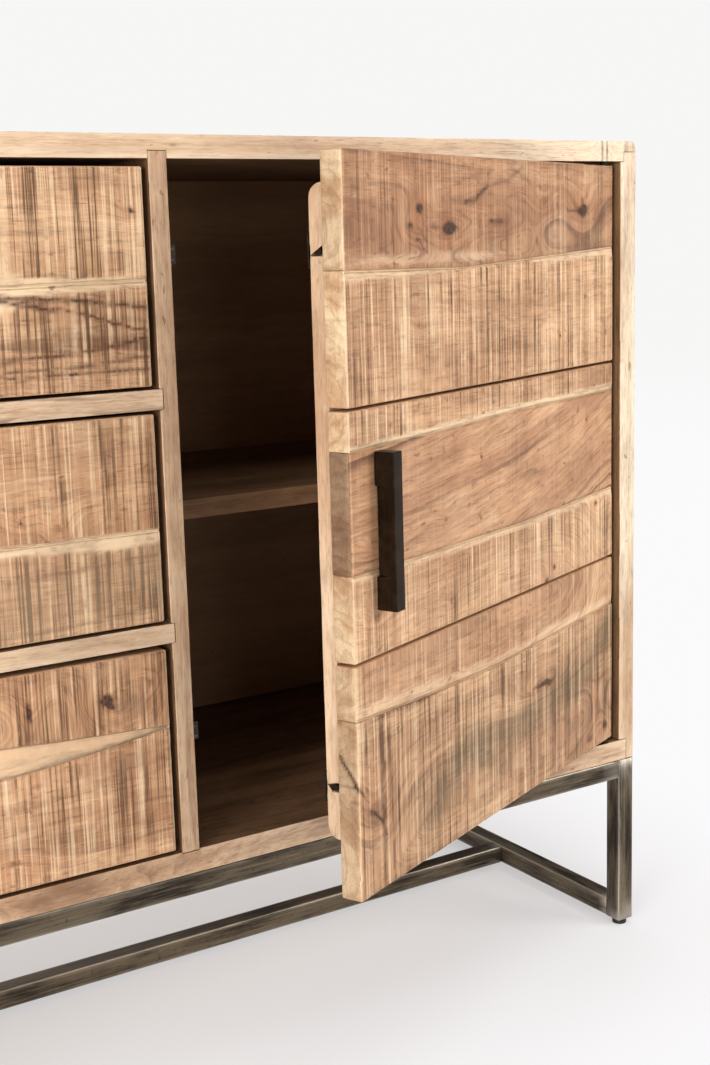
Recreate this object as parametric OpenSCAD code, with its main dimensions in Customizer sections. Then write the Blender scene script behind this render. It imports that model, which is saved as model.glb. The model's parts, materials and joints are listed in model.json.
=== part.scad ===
// Sideboard buffet: two doors and three drawers in a board carcass on a welded tube base.
// Millimetres. X runs along the front, Y towards the back, Z up.
// The origin is on the floor, under the middle of the carcass.

/* [Overall] */
// Width of the carcass
body_w = 1600; // [1500:10:1800]
// Depth of the carcass, front to back
body_d = 425; // [410:5:480]
// Height of the wooden carcass
carcass_h = 635; // [620:5:700]
// Height of the carcass underside above the floor
base_h = 187; // [150:1:260]

/* [Boards] */
// Thickness of the top board and the side panels
board_t = 20; // [18:1:24]
// Thickness of the bottom board
bottom_t = 22; // [20:1:26]
// Thickness of the dividers between doors and drawers
divider_t = 17; // [16:1:22]
// Thickness of the rails between the drawers
rail_t = 17.5; // [15:0.5:22]
// Depth of the rails between the drawers, front to back
rail_d = 70; // [50:5:90]
// Thickness of the back panel
back_t = 9; // [6:1:12]
// Distance from the front plane to the face of the back panel
back_setback = 387; // [375:1:390]
// Radius of the rounded upper corners
corner_r = 9; // [4:1:10]

/* [Shelves] */
// Thickness of the shelves
shelf_t = 18; // [15:1:22]
// Height of a shelf's upper face above the carcass underside
shelf_level = 319; // [260:1:380]
// Distance from the front plane to the front edge of a shelf
shelf_setback = 78.5; // [40:0.5:150]

/* [Drawers] */
// Width of the opening that holds the drawers
drawer_opening_w = 538; // [480:2:600]
// Height of the lower drawer's opening
lower_opening_h = 189; // [180:1:195]
// Height of the middle drawer's opening
middle_opening_h = 182.5; // [178:0.5:190]
// Gap between a drawer front and the divider beside it
drawer_side_gap = 5.5; // [2:0.5:7]
// Thickness of the drawer fronts
front_t = 20; // [18:1:24]
// Height of the drawer boxes
box_h = 130; // [100:5:140]
// Length of the drawer boxes behind the front
box_l = 350; // [320:5:350]
// How far a drawer pulls out
drawer_travel = 270; // [200:10:280]

/* [Doors] */
// Thickness of the door panels
door_t = 20; // [18:1:24]
// How far the right door stands open, in degrees
right_door_open = 24; // [0:1:86]
// Gap between a door and the side panel at the hinges
hinge_gap = 6; // [4:0.5:8]
// Gap between a door's free edge and the divider
free_gap = 3; // [2:0.5:5]
// Gap between two panels of a door
panel_gap = 2.5; // [1:0.5:4]
// Width of the battens behind the doors
batten_w = 45; // [35:1:60]
// Thickness of the battens behind the doors
batten_t = 14; // [12:1:18]

/* [Handles] */
// Length of a handle
handle_l = 126; // [100:2:180]
// Width of a handle
handle_w = 12; // [11:0.5:16]
// How far a handle stands proud of its front
handle_d = 18; // [16:0.5:26]

/* [Base] */
// Side of the square tube
tube = 20; // [20:1:30]
// Wall thickness of the tube
tube_wall = 1.5; // [1:0.5:2]
// Height of the levelling feet under the tube
foot_h = 6; // [4:1:12]

/* [Hidden] */
$fn = 48;
SIDES = [-1, 1];
hair = 0.05;                    // radial clearance of pins and screws in their holes
over = 1;                       // how far a cutter runs past a face

// levels
z_in = base_h + bottom_t;                       // upper face of the bottom board
z_top = base_h + carcass_h;
z_ceil = z_top - board_t;                       // underside of the top board
z_lower_rail = z_in + lower_opening_h;
z_upper_rail = z_lower_rail + rail_t + middle_opening_h;
z_shelf = base_h + shelf_level;

// widths
x_side = body_w / 2 - board_t;                  // inner face of a side panel
x_drawer = drawer_opening_w / 2;                // inner face of a divider
x_door = x_drawer + divider_t;                  // outer face of a divider

// depths
y_front = -body_d / 2;
y_rear = body_d / 2;
y_back = y_front + back_setback;                // face of the back panel

// joinery
lap_h = 10.5;                   // part of the top board that runs over the sides
lap_in = 4;                     // how far the rest of the top board enters a side
tongue = 10;                    // part of a side that covers the end of the bottom board
groove = 6;                     // depth of the back panel's grooves
fit = 0.3;                      // slack of the back panel in its grooves
divider_up = 6.5;               // housing of the dividers in the top board
divider_down = 1.4;             // housing of the dividers in the bottom board
rail_in = 3.5;                  // housing of the drawer rails in the dividers

// doors
z_door_lo = z_in + 4;
z_door_hi = z_ceil - 3.5;
door_h = z_door_hi - z_door_lo;
x_hinge = x_side - hinge_gap;                   // hinge edge of the closed right door
x_free = x_door + free_gap;                     // its free edge
pivot_in = 12;                  // pivot axis, from the hinge edge
pivot_back = 5;                 // pivot axis, behind the front face
x_pivot = x_hinge - pivot_in;
y_pivot = y_front + pivot_back;
panel_cuts = [0, 0.332, 0.672, 1];              // joints between door panels, as shares of the height
plank_cuts = [0.78, 0.36, 0.5];                 // joint between a panel's planks, as a share of it
plank_steps = [-1, 0, 1];       // above 0 the lower plank lies deeper, below 0 the upper one
y_batten = y_front + door_t;                    // front face of the battens
batten_lo = z_door_lo + 47;
batten_hi = z_door_hi - 23;
batten_r = 12;                  // rounding of the batten ends
batten_inset = 4;               // from the door's free edge to the batten
x_batten = x_free + batten_inset;

// pivot hinges
leaf_t = 2.5;
leaf_w = 8;
leaf_l = 58;
pin_r = 2.5;
pin_l = 6;                      // pin below the door leaf's outer face, beyond the leaf
collar_r = 3.9;
collar_slack = 0.1;
bush_r = 3.9;
bush_l = 9;
leaf_screws = [22, 44];         // from the pivot axis

// catches
catch_levels = [117, 538];      // above the carcass underside
catch_w = 22;                   // how far a catch stands off its divider
catch_l = 36;
catch_h = 16;
pole_t = 2;
pole_z = 4.6;                   // pole plates above and below the middle
pole_out = 1.2;                 // pole plates in front of the body
strike_t = 1.5;
slot_h = 7.5;
slot_w = 13;
slot_deep = 12;
bolt_r = 2.8;
y_strike = y_batten + batten_t;                 // rear face of the battens
y_poles = y_strike + strike_t + 0.3;
y_catch = y_poles + pole_out;

// handles
foot_l = 27;                    // full-width block at each end of a handle
lip_t = 3.4;                    // front lip over the finger grooves
finger_groove = 3.4;            // depth of the grooves along both sides
finger_r = 10;                  // rounding of the groove ends
handle_screw_in = 13.5;         // handle screws, from the handle's ends
handle_from_free = 40;          // middle of the door handle, from the free edge
handle_level = 321.5;           // middle of the door handles above the carcass underside
x_handle = x_free + handle_from_free;
z_handle = base_h + handle_level;

// drawers
drawer_z = [z_in, z_lower_rail + rail_t, z_upper_rail + rail_t];
drawer_top = [z_lower_rail, z_upper_rail, z_ceil];
gap_below = 2.7;
gap_above = [4.5, 3, 6];
front_cuts = [0.62, 0.45, 0.44];                // joint between a front's planks
front_steps = [-1, 1, 1];       // as plank_steps
x_front = x_drawer - drawer_side_gap;
side_t = 14;
x_box = x_drawer - 7;                           // outer face of a drawer side
box_up = 12;                    // drawer box above the lower edge of its front
back_low = 12;                  // drawer back above the lower edge of the box
sheet_t = 6;                    // drawer bottom
sheet_in = 5;
y_box = y_front + front_t;
y_box_end = y_box + box_l;
guide_h = 16;
guide_t = 13;
guide_slack = 0.5;
guide_l = 340;
y_guide = y_box + 25;
guide_screws = [40, 290];       // from the front end of a guide

// fasteners
screw_r = 1.7;
screw_head_r = 3.4;
screw_head_h = 2;
bolt_m4_r = 2;
bolt_head_r = 3.6;
bolt_head_h = 2.4;
shelf_pin_r = 2.5;
shelf_pin_in = 10;
shelf_pin_out = 8;
shelf_pin_y = [45, 255];        // from the front edge of a shelf

// base
x_leg = body_w / 2 - tube / 2;
y_leg = body_d / 2 - tube / 2;
tab_x = [-600, 0, 600];
tab_l = 22;
tab_w = 26;
tab_t = 3;
stem_r = 4;
stem_l = 22;
plug_h = 14;
foot_r = 7.5;
collar_foot_r = 7;              // steel collar on the foot's pad
pad_h = 3.2;
leg_r = 5;                      // rounding of a leg's lower outer corner

// ---------- shared shapes ----------

// a box between two opposite corners
module block(lo, hi) {
    translate(lo) cube(hi - lo);
}

// a rod along X between two ends
module rod_x(x0, x1, y, z, r) {
    translate([x0, y, z]) rotate([0, 90, 0]) cylinder(h = x1 - x0, r = r);
}

// a rod along Y between two ends
module rod_y(x, y0, y1, z, r) {
    translate([x, y1, z]) rotate([90, 0, 0]) cylinder(h = y1 - y0, r = r);
}

// a countersunk screw whose head ends at the origin and whose shank points down; grow widens it
module screw(length, grow = 0) {
    translate([0, 0, -length - grow]) cylinder(h = length, r = screw_r + grow);
    translate([0, 0, -screw_head_h]) cylinder(h = screw_head_h, r1 = screw_r + grow, r2 = screw_head_r + grow);
    if (grow > 0) cylinder(h = over, r = screw_head_r + grow);
}

// children on the right, or mirrored to the left
module at_side(side) {
    if (side < 0) mirror([1, 0, 0]) children();
    else children();
}

module both_sides() {
    for (side = SIDES) at_side(side) children();
}

// children at the back, or mirrored to the front
module at_depth(side) {
    if (side < 0) mirror([0, 1, 0]) children();
    else children();
}

// children upright, or turned upside down
module at_end(up) {
    if (up) children();
    else mirror([0, 0, 1]) children();
}

// ---------- where the fasteners go ----------

module at_guide_screws(side) {
    at_side(side)
        for (i = [0 : 2])
            for (dy = guide_screws)
                translate([x_drawer - guide_t, y_guide + dy, guide_z(i)])
                    rotate([0, -90, 0]) children();
}

module at_catch_screws(side) {
    at_side(side)
        for (level = catch_levels)
            translate([x_door + catch_w, y_catch + catch_l / 2, base_h + level])
                rotate([0, 90, 0]) children();
}

module at_upper_leaf_screws() {
    for (dx = leaf_screws)
        translate([x_pivot - dx, y_pivot, z_ceil]) rotate([180, 0, 0]) children();
}

module at_lower_leaf_screws() {
    for (dx = leaf_screws)
        translate([x_pivot - dx, y_pivot, z_in]) children();
}

module at_shelf_pins(side) {
    at_side(side)
        for (dy = shelf_pin_y)
            translate([0, y_front + shelf_setback + dy, z_shelf - shelf_t - shelf_pin_r]) children();
}

module at_tabs() {
    for (x = tab_x)
        for (s = SIDES)
            translate([x, s * (y_leg - tube / 2), 0]) at_depth(s) children();
}

function guide_z(i) = drawer_z[i] + gap_below + box_up + box_h / 2;

// ---------- carcass ----------

module leaf_mortise(z0, z1) {
    block([x_pivot - leaf_l + leaf_w / 2, y_pivot - leaf_w / 2, z0],
          [x_pivot + leaf_w / 2, y_pivot + leaf_w / 2, z1]);
}

// quarter-round waste along the upper outer corner of the carcass
module corner_waste() {
    difference() {
        block([body_w / 2 - corner_r, y_front - over, z_top - corner_r],
              [body_w / 2 + over, y_rear + over, z_top + over]);
        rod_y(body_w / 2 - corner_r, y_front - 2 * over, y_rear + 2 * over, z_top - corner_r, corner_r);
    }
}

module top_board() {
    color("burlywood")
    difference() {
        block([-body_w / 2, y_front, z_ceil], [body_w / 2, y_rear, z_top]);
        block([-x_side - groove, y_back, z_ceil - over],
              [x_side + groove, y_back + back_t + fit, z_ceil + groove]);
        both_sides() {
            block([x_side + lap_in, y_front - over, z_ceil - over],
                  [body_w / 2 + over, y_rear + over, z_top - lap_h]);
            block([x_drawer, y_front - over, z_ceil - over], [x_door, y_back, z_ceil + divider_up]);
            leaf_mortise(z_ceil - over, z_ceil + leaf_t);
            at_upper_leaf_screws() screw(16, hair);
            corner_waste();
        }
    }
}

module bottom_board() {
    color("burlywood")
    difference() {
        block([-x_side - tongue, y_front, base_h], [x_side + tongue, y_rear, z_in]);
        block([-x_side - groove, y_back, z_in - groove],
              [x_side + groove, y_back + back_t + fit, z_in + over]);
        both_sides() {
            block([x_drawer, y_front - over, z_in - divider_down], [x_door, y_back, z_in + over]);
            leaf_mortise(z_in - leaf_t, z_in + over);
            at_lower_leaf_screws() screw(16, hair);
        }
        at_tabs() translate([0, -tab_l / 2, base_h - tab_t]) rotate([180, 0, 0]) screw(18, hair);
    }
}

module side_panel(side) {
    at_side(side)
    difference() {
        block([x_side, y_front, base_h], [body_w / 2, y_rear, z_top - lap_h]);
        block([x_side - over, y_front - over, z_ceil],
              [x_side + lap_in, y_rear + over, z_top]);
        block([x_side - over, y_front - over, base_h - over],
              [x_side + tongue, y_rear + over, z_in]);
        block([x_side - over, y_back, base_h - over],
              [x_side + groove, y_back + back_t + fit, z_top]);
        at_shelf_pins(1)
            rod_x(x_side - over, x_side + shelf_pin_in, 0, 0, shelf_pin_r + hair);
    }
}

module left_side_panel() {
    color("wheat") side_panel(-1);
}

module right_side_panel() {
    color("wheat") side_panel(1);
}

module divider(side) {
    difference() {
        at_side(side)
        difference() {
            block([x_drawer, y_front, z_in - divider_down], [x_door, y_back, z_ceil + divider_up]);
            for (z = [z_lower_rail, z_upper_rail])
                block([x_drawer - over, y_front - over, z],
                      [x_drawer + rail_in, y_front + rail_d, z + rail_t]);
            at_shelf_pins(1)
                rod_x(x_door - shelf_pin_in, x_door + over, 0, 0, shelf_pin_r + hair);
        }
        at_guide_screws(side) screw(24, hair);
        at_catch_screws(side) screw(catch_w + 12, hair);
    }
}

module left_divider() {
    color("tan") divider(-1);
}

module right_divider() {
    color("tan") divider(1);
}

module drawer_rail(z) {
    block([-x_drawer - rail_in, y_front, z], [x_drawer + rail_in, y_front + rail_d, z + rail_t]);
}

module upper_drawer_rail() {
    color("tan") drawer_rail(z_upper_rail);
}

module lower_drawer_rail() {
    color("tan") drawer_rail(z_lower_rail);
}

module back_panel() {
    color("sienna")
    block([-x_side - groove + fit, y_back, z_in - groove + fit],
          [x_side + groove - fit, y_back + back_t, z_ceil + groove - fit]);
}

module shelf(side) {
    at_side(side)
    block([x_door + 0.5, y_front + shelf_setback, z_shelf - shelf_t],
          [x_side - 0.5, y_back - 1, z_shelf]);
}

module left_shelf() {
    color("peru") shelf(-1);
}

module right_shelf() {
    color("peru") shelf(1);
}

module shelf_pins() {
    color("silver")
    for (side = SIDES)
        at_shelf_pins(side) {
            rod_x(x_door - shelf_pin_in + 0.5, x_door + shelf_pin_out, 0, 0, shelf_pin_r);
            rod_x(x_side - shelf_pin_out, x_side + shelf_pin_in - 0.5, 0, 0, shelf_pin_r);
        }
}

module drawer_guides() {
    color("saddlebrown")
    for (side = SIDES)
        difference() {
            at_side(side)
                for (i = [0 : 2])
                    block([x_drawer - guide_t, y_guide, guide_z(i) - guide_h / 2],
                          [x_drawer, y_guide + guide_l, guide_z(i) + guide_h / 2]);
            at_guide_screws(side) screw(24, hair);
        }
}

// ---------- catches and hinges on the carcass ----------

module pole_plates(grow = 0) {
    for (level = catch_levels)
        for (dz = [-pole_z, pole_z])
            block([x_door + 2 - grow, y_poles, base_h + level + dz - pole_t / 2 - grow],
                  [x_door + catch_w - 2 + grow, y_catch + 26 + grow, base_h + level + dz + pole_t / 2 + grow]);
}

module catch_bodies() {
    color("dimgray")
    for (side = SIDES)
        difference() {
            at_side(side)
            difference() {
                for (level = catch_levels)
                    block([x_door, y_catch, base_h + level - catch_h / 2],
                          [x_door + catch_w, y_catch + catch_l, base_h + level + catch_h / 2]);
                pole_plates(hair);
            }
            at_catch_screws(side) screw(catch_w + 12, hair);
        }
}

module catch_pole_plates() {
    color("silver")
    for (side = SIDES)
        at_side(side) pole_plates();
}

// leaf with its pin, for the underside of the top board; the gap to the door sets the collar
module frame_leaf(gap) {
    difference() {
        union() {
            leaf_mortise(0, leaf_t);
            translate([x_pivot, y_pivot, collar_slack - gap]) cylinder(h = gap, r = collar_r);
            translate([x_pivot, y_pivot, -gap - leaf_t - pin_l])
                cylinder(h = gap + 2 * leaf_t + pin_l - 0.5, r = pin_r);
        }
        for (dx = leaf_screws)
            translate([x_pivot - dx, y_pivot, 0]) rotate([180, 0, 0]) screw(16, hair);
    }
}

module frame_hinge_leaves() {
    color("silver")
    both_sides() {
        translate([0, 0, z_ceil]) frame_leaf(z_ceil - z_door_hi);
        translate([0, 0, z_in]) mirror([0, 0, 1]) frame_leaf(z_door_lo - z_in);
    }
}

module carcass_screws() {
    color("gray") {
        for (side = SIDES) {
            at_guide_screws(side) screw(22);
            at_catch_screws(side) screw(catch_w + 11);
        }
        both_sides() {
            at_upper_leaf_screws() screw(15);
            at_lower_leaf_screws() screw(15);
        }
    }
}

// ---------- tube base ----------

module base_long_rails() {
    color("darkslategray")
    for (s = SIDES)
        translate([0, s * y_leg, base_h - tube / 2])
        difference() {
            cube([body_w - 2 * tube, tube, tube], center = true);
            cube([body_w, tube - 2 * tube_wall, tube - 2 * tube_wall], center = true);
        }
}

module base_cross_rails() {
    color("darkslategray")
    for (s = SIDES)
        for (z = [foot_h + tube / 2, base_h - tube / 2])
            translate([s * x_leg, 0, z])
            difference() {
                cube([tube, body_d - 2 * tube, tube], center = true);
                cube([tube - 2 * tube_wall, body_d, tube - 2 * tube_wall], center = true);
            }
}

module base_legs() {
    color("darkslategray")
    for (sx = SIDES)
        for (sy = SIDES)
            translate([sx * x_leg, sy * y_leg, foot_h])
            difference() {
                translate([-tube / 2, -tube / 2, 0]) cube([tube, tube, base_h - foot_h]);
                translate([-tube / 2 + tube_wall, -tube / 2 + tube_wall, plug_h])
                    cube([tube - 2 * tube_wall, tube - 2 * tube_wall, base_h]);
                translate([0, 0, -over]) cylinder(h = plug_h + 2 * over, r = stem_r + hair);
                at_side(sx)
                difference() {
                    block([tube / 2 - leg_r, -tube, -over], [tube / 2 + over, tube, leg_r]);
                    rod_y(tube / 2 - leg_r, -tube - over, tube + over, leg_r, leg_r);
                }
            }
}

module floor_stretcher() {
    color("darkslategray")
    translate([0, 0, foot_h + tube / 2])
    difference() {
        cube([body_w - 2 * tube, tube, tube], center = true);
        cube([body_w, tube - 2 * tube_wall, tube - 2 * tube_wall], center = true);
    }
}

module base_fixing_tabs() {
    color("darkslategray")
    at_tabs()
    difference() {
        block([-tab_w / 2, -tab_l, base_h - tab_t], [tab_w / 2, 0, base_h]);
        translate([0, -tab_l / 2, base_h - tab_t]) rotate([180, 0, 0]) screw(18, hair);
    }
}

module base_screws() {
    color("gray")
    at_tabs() translate([0, -tab_l / 2, base_h - tab_t]) rotate([180, 0, 0]) screw(17);
}

module levelling_foot(sx, sy) {
    color("black")
    translate([sx * x_leg, sy * y_leg, 0]) {
        cylinder(h = pad_h, r = foot_r);
        cylinder(h = foot_h - 0.2, r = collar_foot_r);
        cylinder(h = foot_h + stem_l, r = stem_r);
    }
}

module front_left_foot() {
    levelling_foot(-1, -1);
}

module front_right_foot() {
    levelling_foot(1, -1);
}

module rear_left_foot() {
    levelling_foot(-1, 1);
}

module rear_right_foot() {
    levelling_foot(1, 1);
}

// ---------- doors ----------

// the right door turns open about its pivot; the left one is its mirror image, closed
module door_place(side) {
    if (side > 0)
        translate([x_pivot, y_pivot, 0])
            rotate([0, 0, right_door_open])
                translate([-x_pivot, -y_pivot, 0]) children();
    else
        mirror([1, 0, 0]) children();
}

module at_handle_screws() {
    for (dz = [handle_screw_in, handle_l - handle_screw_in])
        translate([x_handle, y_strike, z_handle - handle_l / 2 + dz])
            rotate([-90, 0, 0]) children();
}

module at_batten_screws() {
    for (k = [0 : 2])
        for (x = [x_free + batten_inset + 34, x_hinge - 75])
            translate([x, y_strike, z_door_lo + door_h * (0.17 + 0.31 * k)])
                rotate([-90, 0, 0]) children();
}

module at_bush(up) {
    translate([x_pivot, y_pivot, up ? z_door_hi : z_door_lo])
        at_end(up) children();
}

// bolt with its head at the origin, shank pointing down
module machine_screw(length, grow = 0) {
    translate([0, 0, -length - grow]) cylinder(h = length + grow, r = bolt_m4_r + grow);
    cylinder(h = bolt_head_h, r = bolt_head_r);
}

module door_panel(side, k) {
    z0 = z_door_lo + door_h * panel_cuts[k] + (k > 0 ? panel_gap / 2 : 0);
    z1 = z_door_lo + door_h * panel_cuts[k + 1] - (k < 2 ? panel_gap / 2 : 0);
    zc = z0 + (z1 - z0) * plank_cuts[k];
    step = plank_steps[k];
    color("peru")
    door_place(side)
    difference() {
        union() {
            block([x_free, y_front + max(step, 0), z0], [x_hinge, y_batten, zc]);
            block([x_free, y_front + max(-step, 0), zc], [x_hinge, y_batten, z1]);
        }
        at_handle_screws() machine_screw(batten_t + door_t + 9, hair);
        at_batten_screws() screw(batten_t + 12, hair);
        if (k != 1)
            at_bush(k == 2) {
                translate([0, 0, -leaf_t])
                    block([-leaf_l + leaf_w / 2, -leaf_w / 2, 0],
                          [leaf_w / 2, leaf_w / 2, leaf_t + over]);
                translate([0, 0, -bush_l - hair]) cylinder(h = bush_l + over, r = bush_r + hair);
                for (dx = leaf_screws) translate([-dx, 0, 0]) screw(16, hair);
            }
    }
}

module batten(x0, slots) {
    difference() {
        block([x0, y_batten, batten_lo], [x0 + batten_w, y_strike, batten_hi]);
        for (up = [false, true])
            translate([0, y_strike - batten_r, up ? batten_hi - batten_r : batten_lo + batten_r])
            at_end(up)
            difference() {
                block([x0 - over, 0, 0], [x0 + batten_w + over, batten_r + over, batten_r + over]);
                rod_x(x0 - 2 * over, x0 + batten_w + 2 * over, 0, 0, batten_r);
            }
        if (slots)
            for (level = catch_levels)
                block([x0 - over, y_batten, base_h + level - slot_h / 2],
                      [x0 + slot_deep, y_batten + slot_w, base_h + level + slot_h / 2]);
        at_handle_screws() machine_screw(batten_t + door_t + 9, hair);
        at_batten_screws() screw(batten_t + 12, hair);
    }
}

module door_battens(side) {
    color("burlywood")
    door_place(side) {
        batten(x_batten, true);
        batten(x_hinge - 86, false);
    }
}

// bar with full-width ends and a finger groove along each side, standing on the XZ plane
module handle_bar() {
    mid = handle_l / 2 - foot_l;
    difference() {
        block([-handle_w / 2, -handle_d, -handle_l / 2], [handle_w / 2, 0, handle_l / 2]);
        for (s = SIDES)
            at_side(s) {
                x0 = handle_w / 2 - finger_groove;
                block([x0, -handle_d + lip_t + finger_r, -mid], [handle_w, over, mid]);
                block([x0, -handle_d + lip_t, -mid + finger_r], [handle_w, over, mid - finger_r]);
                for (t = SIDES)
                    rod_x(x0, handle_w, -handle_d + lip_t + finger_r, t * (mid - finger_r), finger_r);
            }
        for (t = SIDES)
            rod_y(0, -9.5, over, t * (handle_l / 2 - handle_screw_in), bolt_m4_r + hair);
    }
}

module door_handle(side) {
    color("black")
    door_place(side)
    translate([x_handle, y_front, z_handle]) handle_bar();
}

module door_leaf() {
    difference() {
        union() {
            block([-leaf_l + leaf_w / 2, -leaf_w / 2, -leaf_t], [leaf_w / 2, leaf_w / 2, 0]);
            translate([0, 0, -bush_l]) cylinder(h = bush_l, r = bush_r);
        }
        translate([0, 0, -bush_l - over]) cylinder(h = bush_l + 2 * over, r = pin_r + hair);
        for (dx = leaf_screws) translate([-dx, 0, 0]) screw(16, hair);
    }
}

module strike(z) {
    block([x_batten, y_strike, z - 13], [x_batten + 24, y_strike + strike_t, z + 13]);
    rod_x(x_batten + 1.5, x_batten + slot_deep, y_batten + slot_w / 2, z, bolt_r);
}

module door_hardware(side) {
    color("silver")
    door_place(side) {
        at_bush(true) door_leaf();
        at_bush(false) door_leaf();
        for (level = catch_levels) strike(base_h + level);
    }
}

module door_screws(side) {
    color("gray")
    door_place(side) {
        at_handle_screws() machine_screw(batten_t + door_t + 8);
        at_batten_screws() screw(batten_t + 11);
        for (up = [true, false])
            at_bush(up)
                for (dx = leaf_screws) translate([-dx, 0, 0]) screw(15);
    }
}

module left_door_lower_panel() {
    door_panel(-1, 0);
}

module left_door_middle_panel() {
    door_panel(-1, 1);
}

module left_door_upper_panel() {
    door_panel(-1, 2);
}

module left_door_battens() {
    door_battens(-1);
}

module left_door_handle() {
    door_handle(-1);
}

module left_door_hardware() {
    door_hardware(-1);
}

module left_door_screws() {
    door_screws(-1);
}

module right_door_lower_panel() {
    door_panel(1, 0);
}

module right_door_middle_panel() {
    door_panel(1, 1);
}

module right_door_upper_panel() {
    door_panel(1, 2);
}

module right_door_battens() {
    door_battens(1);
}

module right_door_handle() {
    door_handle(1);
}

module right_door_hardware() {
    door_hardware(1);
}

module right_door_screws() {
    door_screws(1);
}

// ---------- drawers: 0 lower, 1 middle, 2 upper ----------

function front_lo(i) = drawer_z[i] + gap_below;
function front_hi(i) = drawer_top[i] - gap_above[i];
function box_lo(i) = front_lo(i) + box_up;

module at_drawer_handle_screws(i) {
    for (s = SIDES)
        translate([s * (handle_l / 2 - handle_screw_in), y_box, (front_lo(i) + front_hi(i)) / 2])
            rotate([-90, 0, 0]) children();
}

module at_box_screws(i) {
    for (side = SIDES)
        for (dz = [0.2, 0.8])
            translate([side * x_box, y_box_end - side_t / 2, box_lo(i) + back_low + dz * (box_h - back_low)])
                rotate([0, side * 90, 0]) children();
}

module drawer_front(i) {
    z0 = front_lo(i);
    z1 = front_hi(i);
    zc = z0 + (z1 - z0) * front_cuts[i];
    step = front_steps[i];
    color("peru")
    difference() {
        union() {
            block([-x_front, y_front + max(step, 0), z0], [x_front, y_box, zc]);
            block([-x_front, y_front + max(-step, 0), zc], [x_front, y_box, z1]);
        }
        block([-x_box + side_t - sheet_in, y_box - sheet_in, box_lo(i) + 6],
              [x_box - side_t + sheet_in, y_box + over, box_lo(i) + 6 + sheet_t]);
        at_drawer_handle_screws(i) machine_screw(front_t + 9, hair);
    }
}

module drawer_sides(i) {
    color("burlywood")
    difference() {
        both_sides()
        difference() {
            block([x_box - side_t, y_box, box_lo(i)], [x_box, y_box_end, box_lo(i) + box_h]);
            block([x_drawer - guide_t - guide_slack, y_guide - guide_slack,
                   guide_z(i) - guide_h / 2 - guide_slack],
                  [x_drawer, y_box_end + over, guide_z(i) + guide_h / 2 + guide_slack]);
            block([x_box - side_t - over, y_box - over, box_lo(i) + 6],
                  [x_box - side_t + sheet_in, y_box_end + over, box_lo(i) + 6 + sheet_t]);
        }
        at_box_screws(i) screw(30, hair);
    }
}

module drawer_back(i) {
    color("burlywood")
    difference() {
        block([-x_box + side_t, y_box_end - side_t, box_lo(i) + back_low],
              [x_box - side_t, y_box_end, box_lo(i) + box_h]);
        at_box_screws(i) screw(30, hair);
    }
}

module drawer_bottom(i) {
    color("tan")
    block([-x_box + side_t - sheet_in, y_box - sheet_in, box_lo(i) + 6],
          [x_box - side_t + sheet_in, y_box_end, box_lo(i) + 6 + sheet_t]);
}

module drawer_handle(i) {
    color("black")
    translate([0, y_front, (front_lo(i) + front_hi(i)) / 2])
        rotate([0, 90, 0]) handle_bar();
}

module drawer_screws(i) {
    color("gray") {
        at_drawer_handle_screws(i) machine_screw(front_t + 8);
        at_box_screws(i) screw(29);
    }
}

module lower_drawer_front() {
    drawer_front(0);
}

module lower_drawer_sides() {
    drawer_sides(0);
}

module lower_drawer_back() {
    drawer_back(0);
}

module lower_drawer_bottom() {
    drawer_bottom(0);
}

module lower_drawer_handle() {
    drawer_handle(0);
}

module lower_drawer_screws() {
    drawer_screws(0);
}

module middle_drawer_front() {
    drawer_front(1);
}

module middle_drawer_sides() {
    drawer_sides(1);
}

module middle_drawer_back() {
    drawer_back(1);
}

module middle_drawer_bottom() {
    drawer_bottom(1);
}

module middle_drawer_handle() {
    drawer_handle(1);
}

module middle_drawer_screws() {
    drawer_screws(1);
}

module upper_drawer_front() {
    drawer_front(2);
}

module upper_drawer_sides() {
    drawer_sides(2);
}

module upper_drawer_back() {
    drawer_back(2);
}

module upper_drawer_bottom() {
    drawer_bottom(2);
}

module upper_drawer_handle() {
    drawer_handle(2);
}

module upper_drawer_screws() {
    drawer_screws(2);
}

top_board();
bottom_board();
left_side_panel();
right_side_panel();
left_divider();
right_divider();
upper_drawer_rail();
lower_drawer_rail();
back_panel();
left_shelf();
right_shelf();
shelf_pins();
drawer_guides();
catch_bodies();
catch_pole_plates();
frame_hinge_leaves();
carcass_screws();
base_long_rails();
base_cross_rails();
base_legs();
floor_stretcher();
base_fixing_tabs();
base_screws();
front_left_foot();
front_right_foot();
rear_left_foot();
rear_right_foot();
left_door_lower_panel();
left_door_middle_panel();
left_door_upper_panel();
left_door_battens();
left_door_handle();
left_door_hardware();
left_door_screws();
right_door_lower_panel();
right_door_middle_panel();
right_door_upper_panel();
right_door_battens();
right_door_handle();
right_door_hardware();
right_door_screws();
lower_drawer_front();
lower_drawer_sides();
lower_drawer_back();
lower_drawer_bottom();
lower_drawer_handle();
lower_drawer_screws();
middle_drawer_front();
middle_drawer_sides();
middle_drawer_back();
middle_drawer_bottom();
middle_drawer_handle();
middle_drawer_screws();
upper_drawer_front();
upper_drawer_sides();
upper_drawer_back();
upper_drawer_bottom();
upper_drawer_handle();
upper_drawer_screws();
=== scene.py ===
"""Looks of the sideboard buffet: sawn planks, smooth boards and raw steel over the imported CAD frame."""
import json
import math
from dataclasses import dataclass
from functools import reduce

import bmesh
import bpy
import numpy as np
from mathutils import Matrix, Vector


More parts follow.
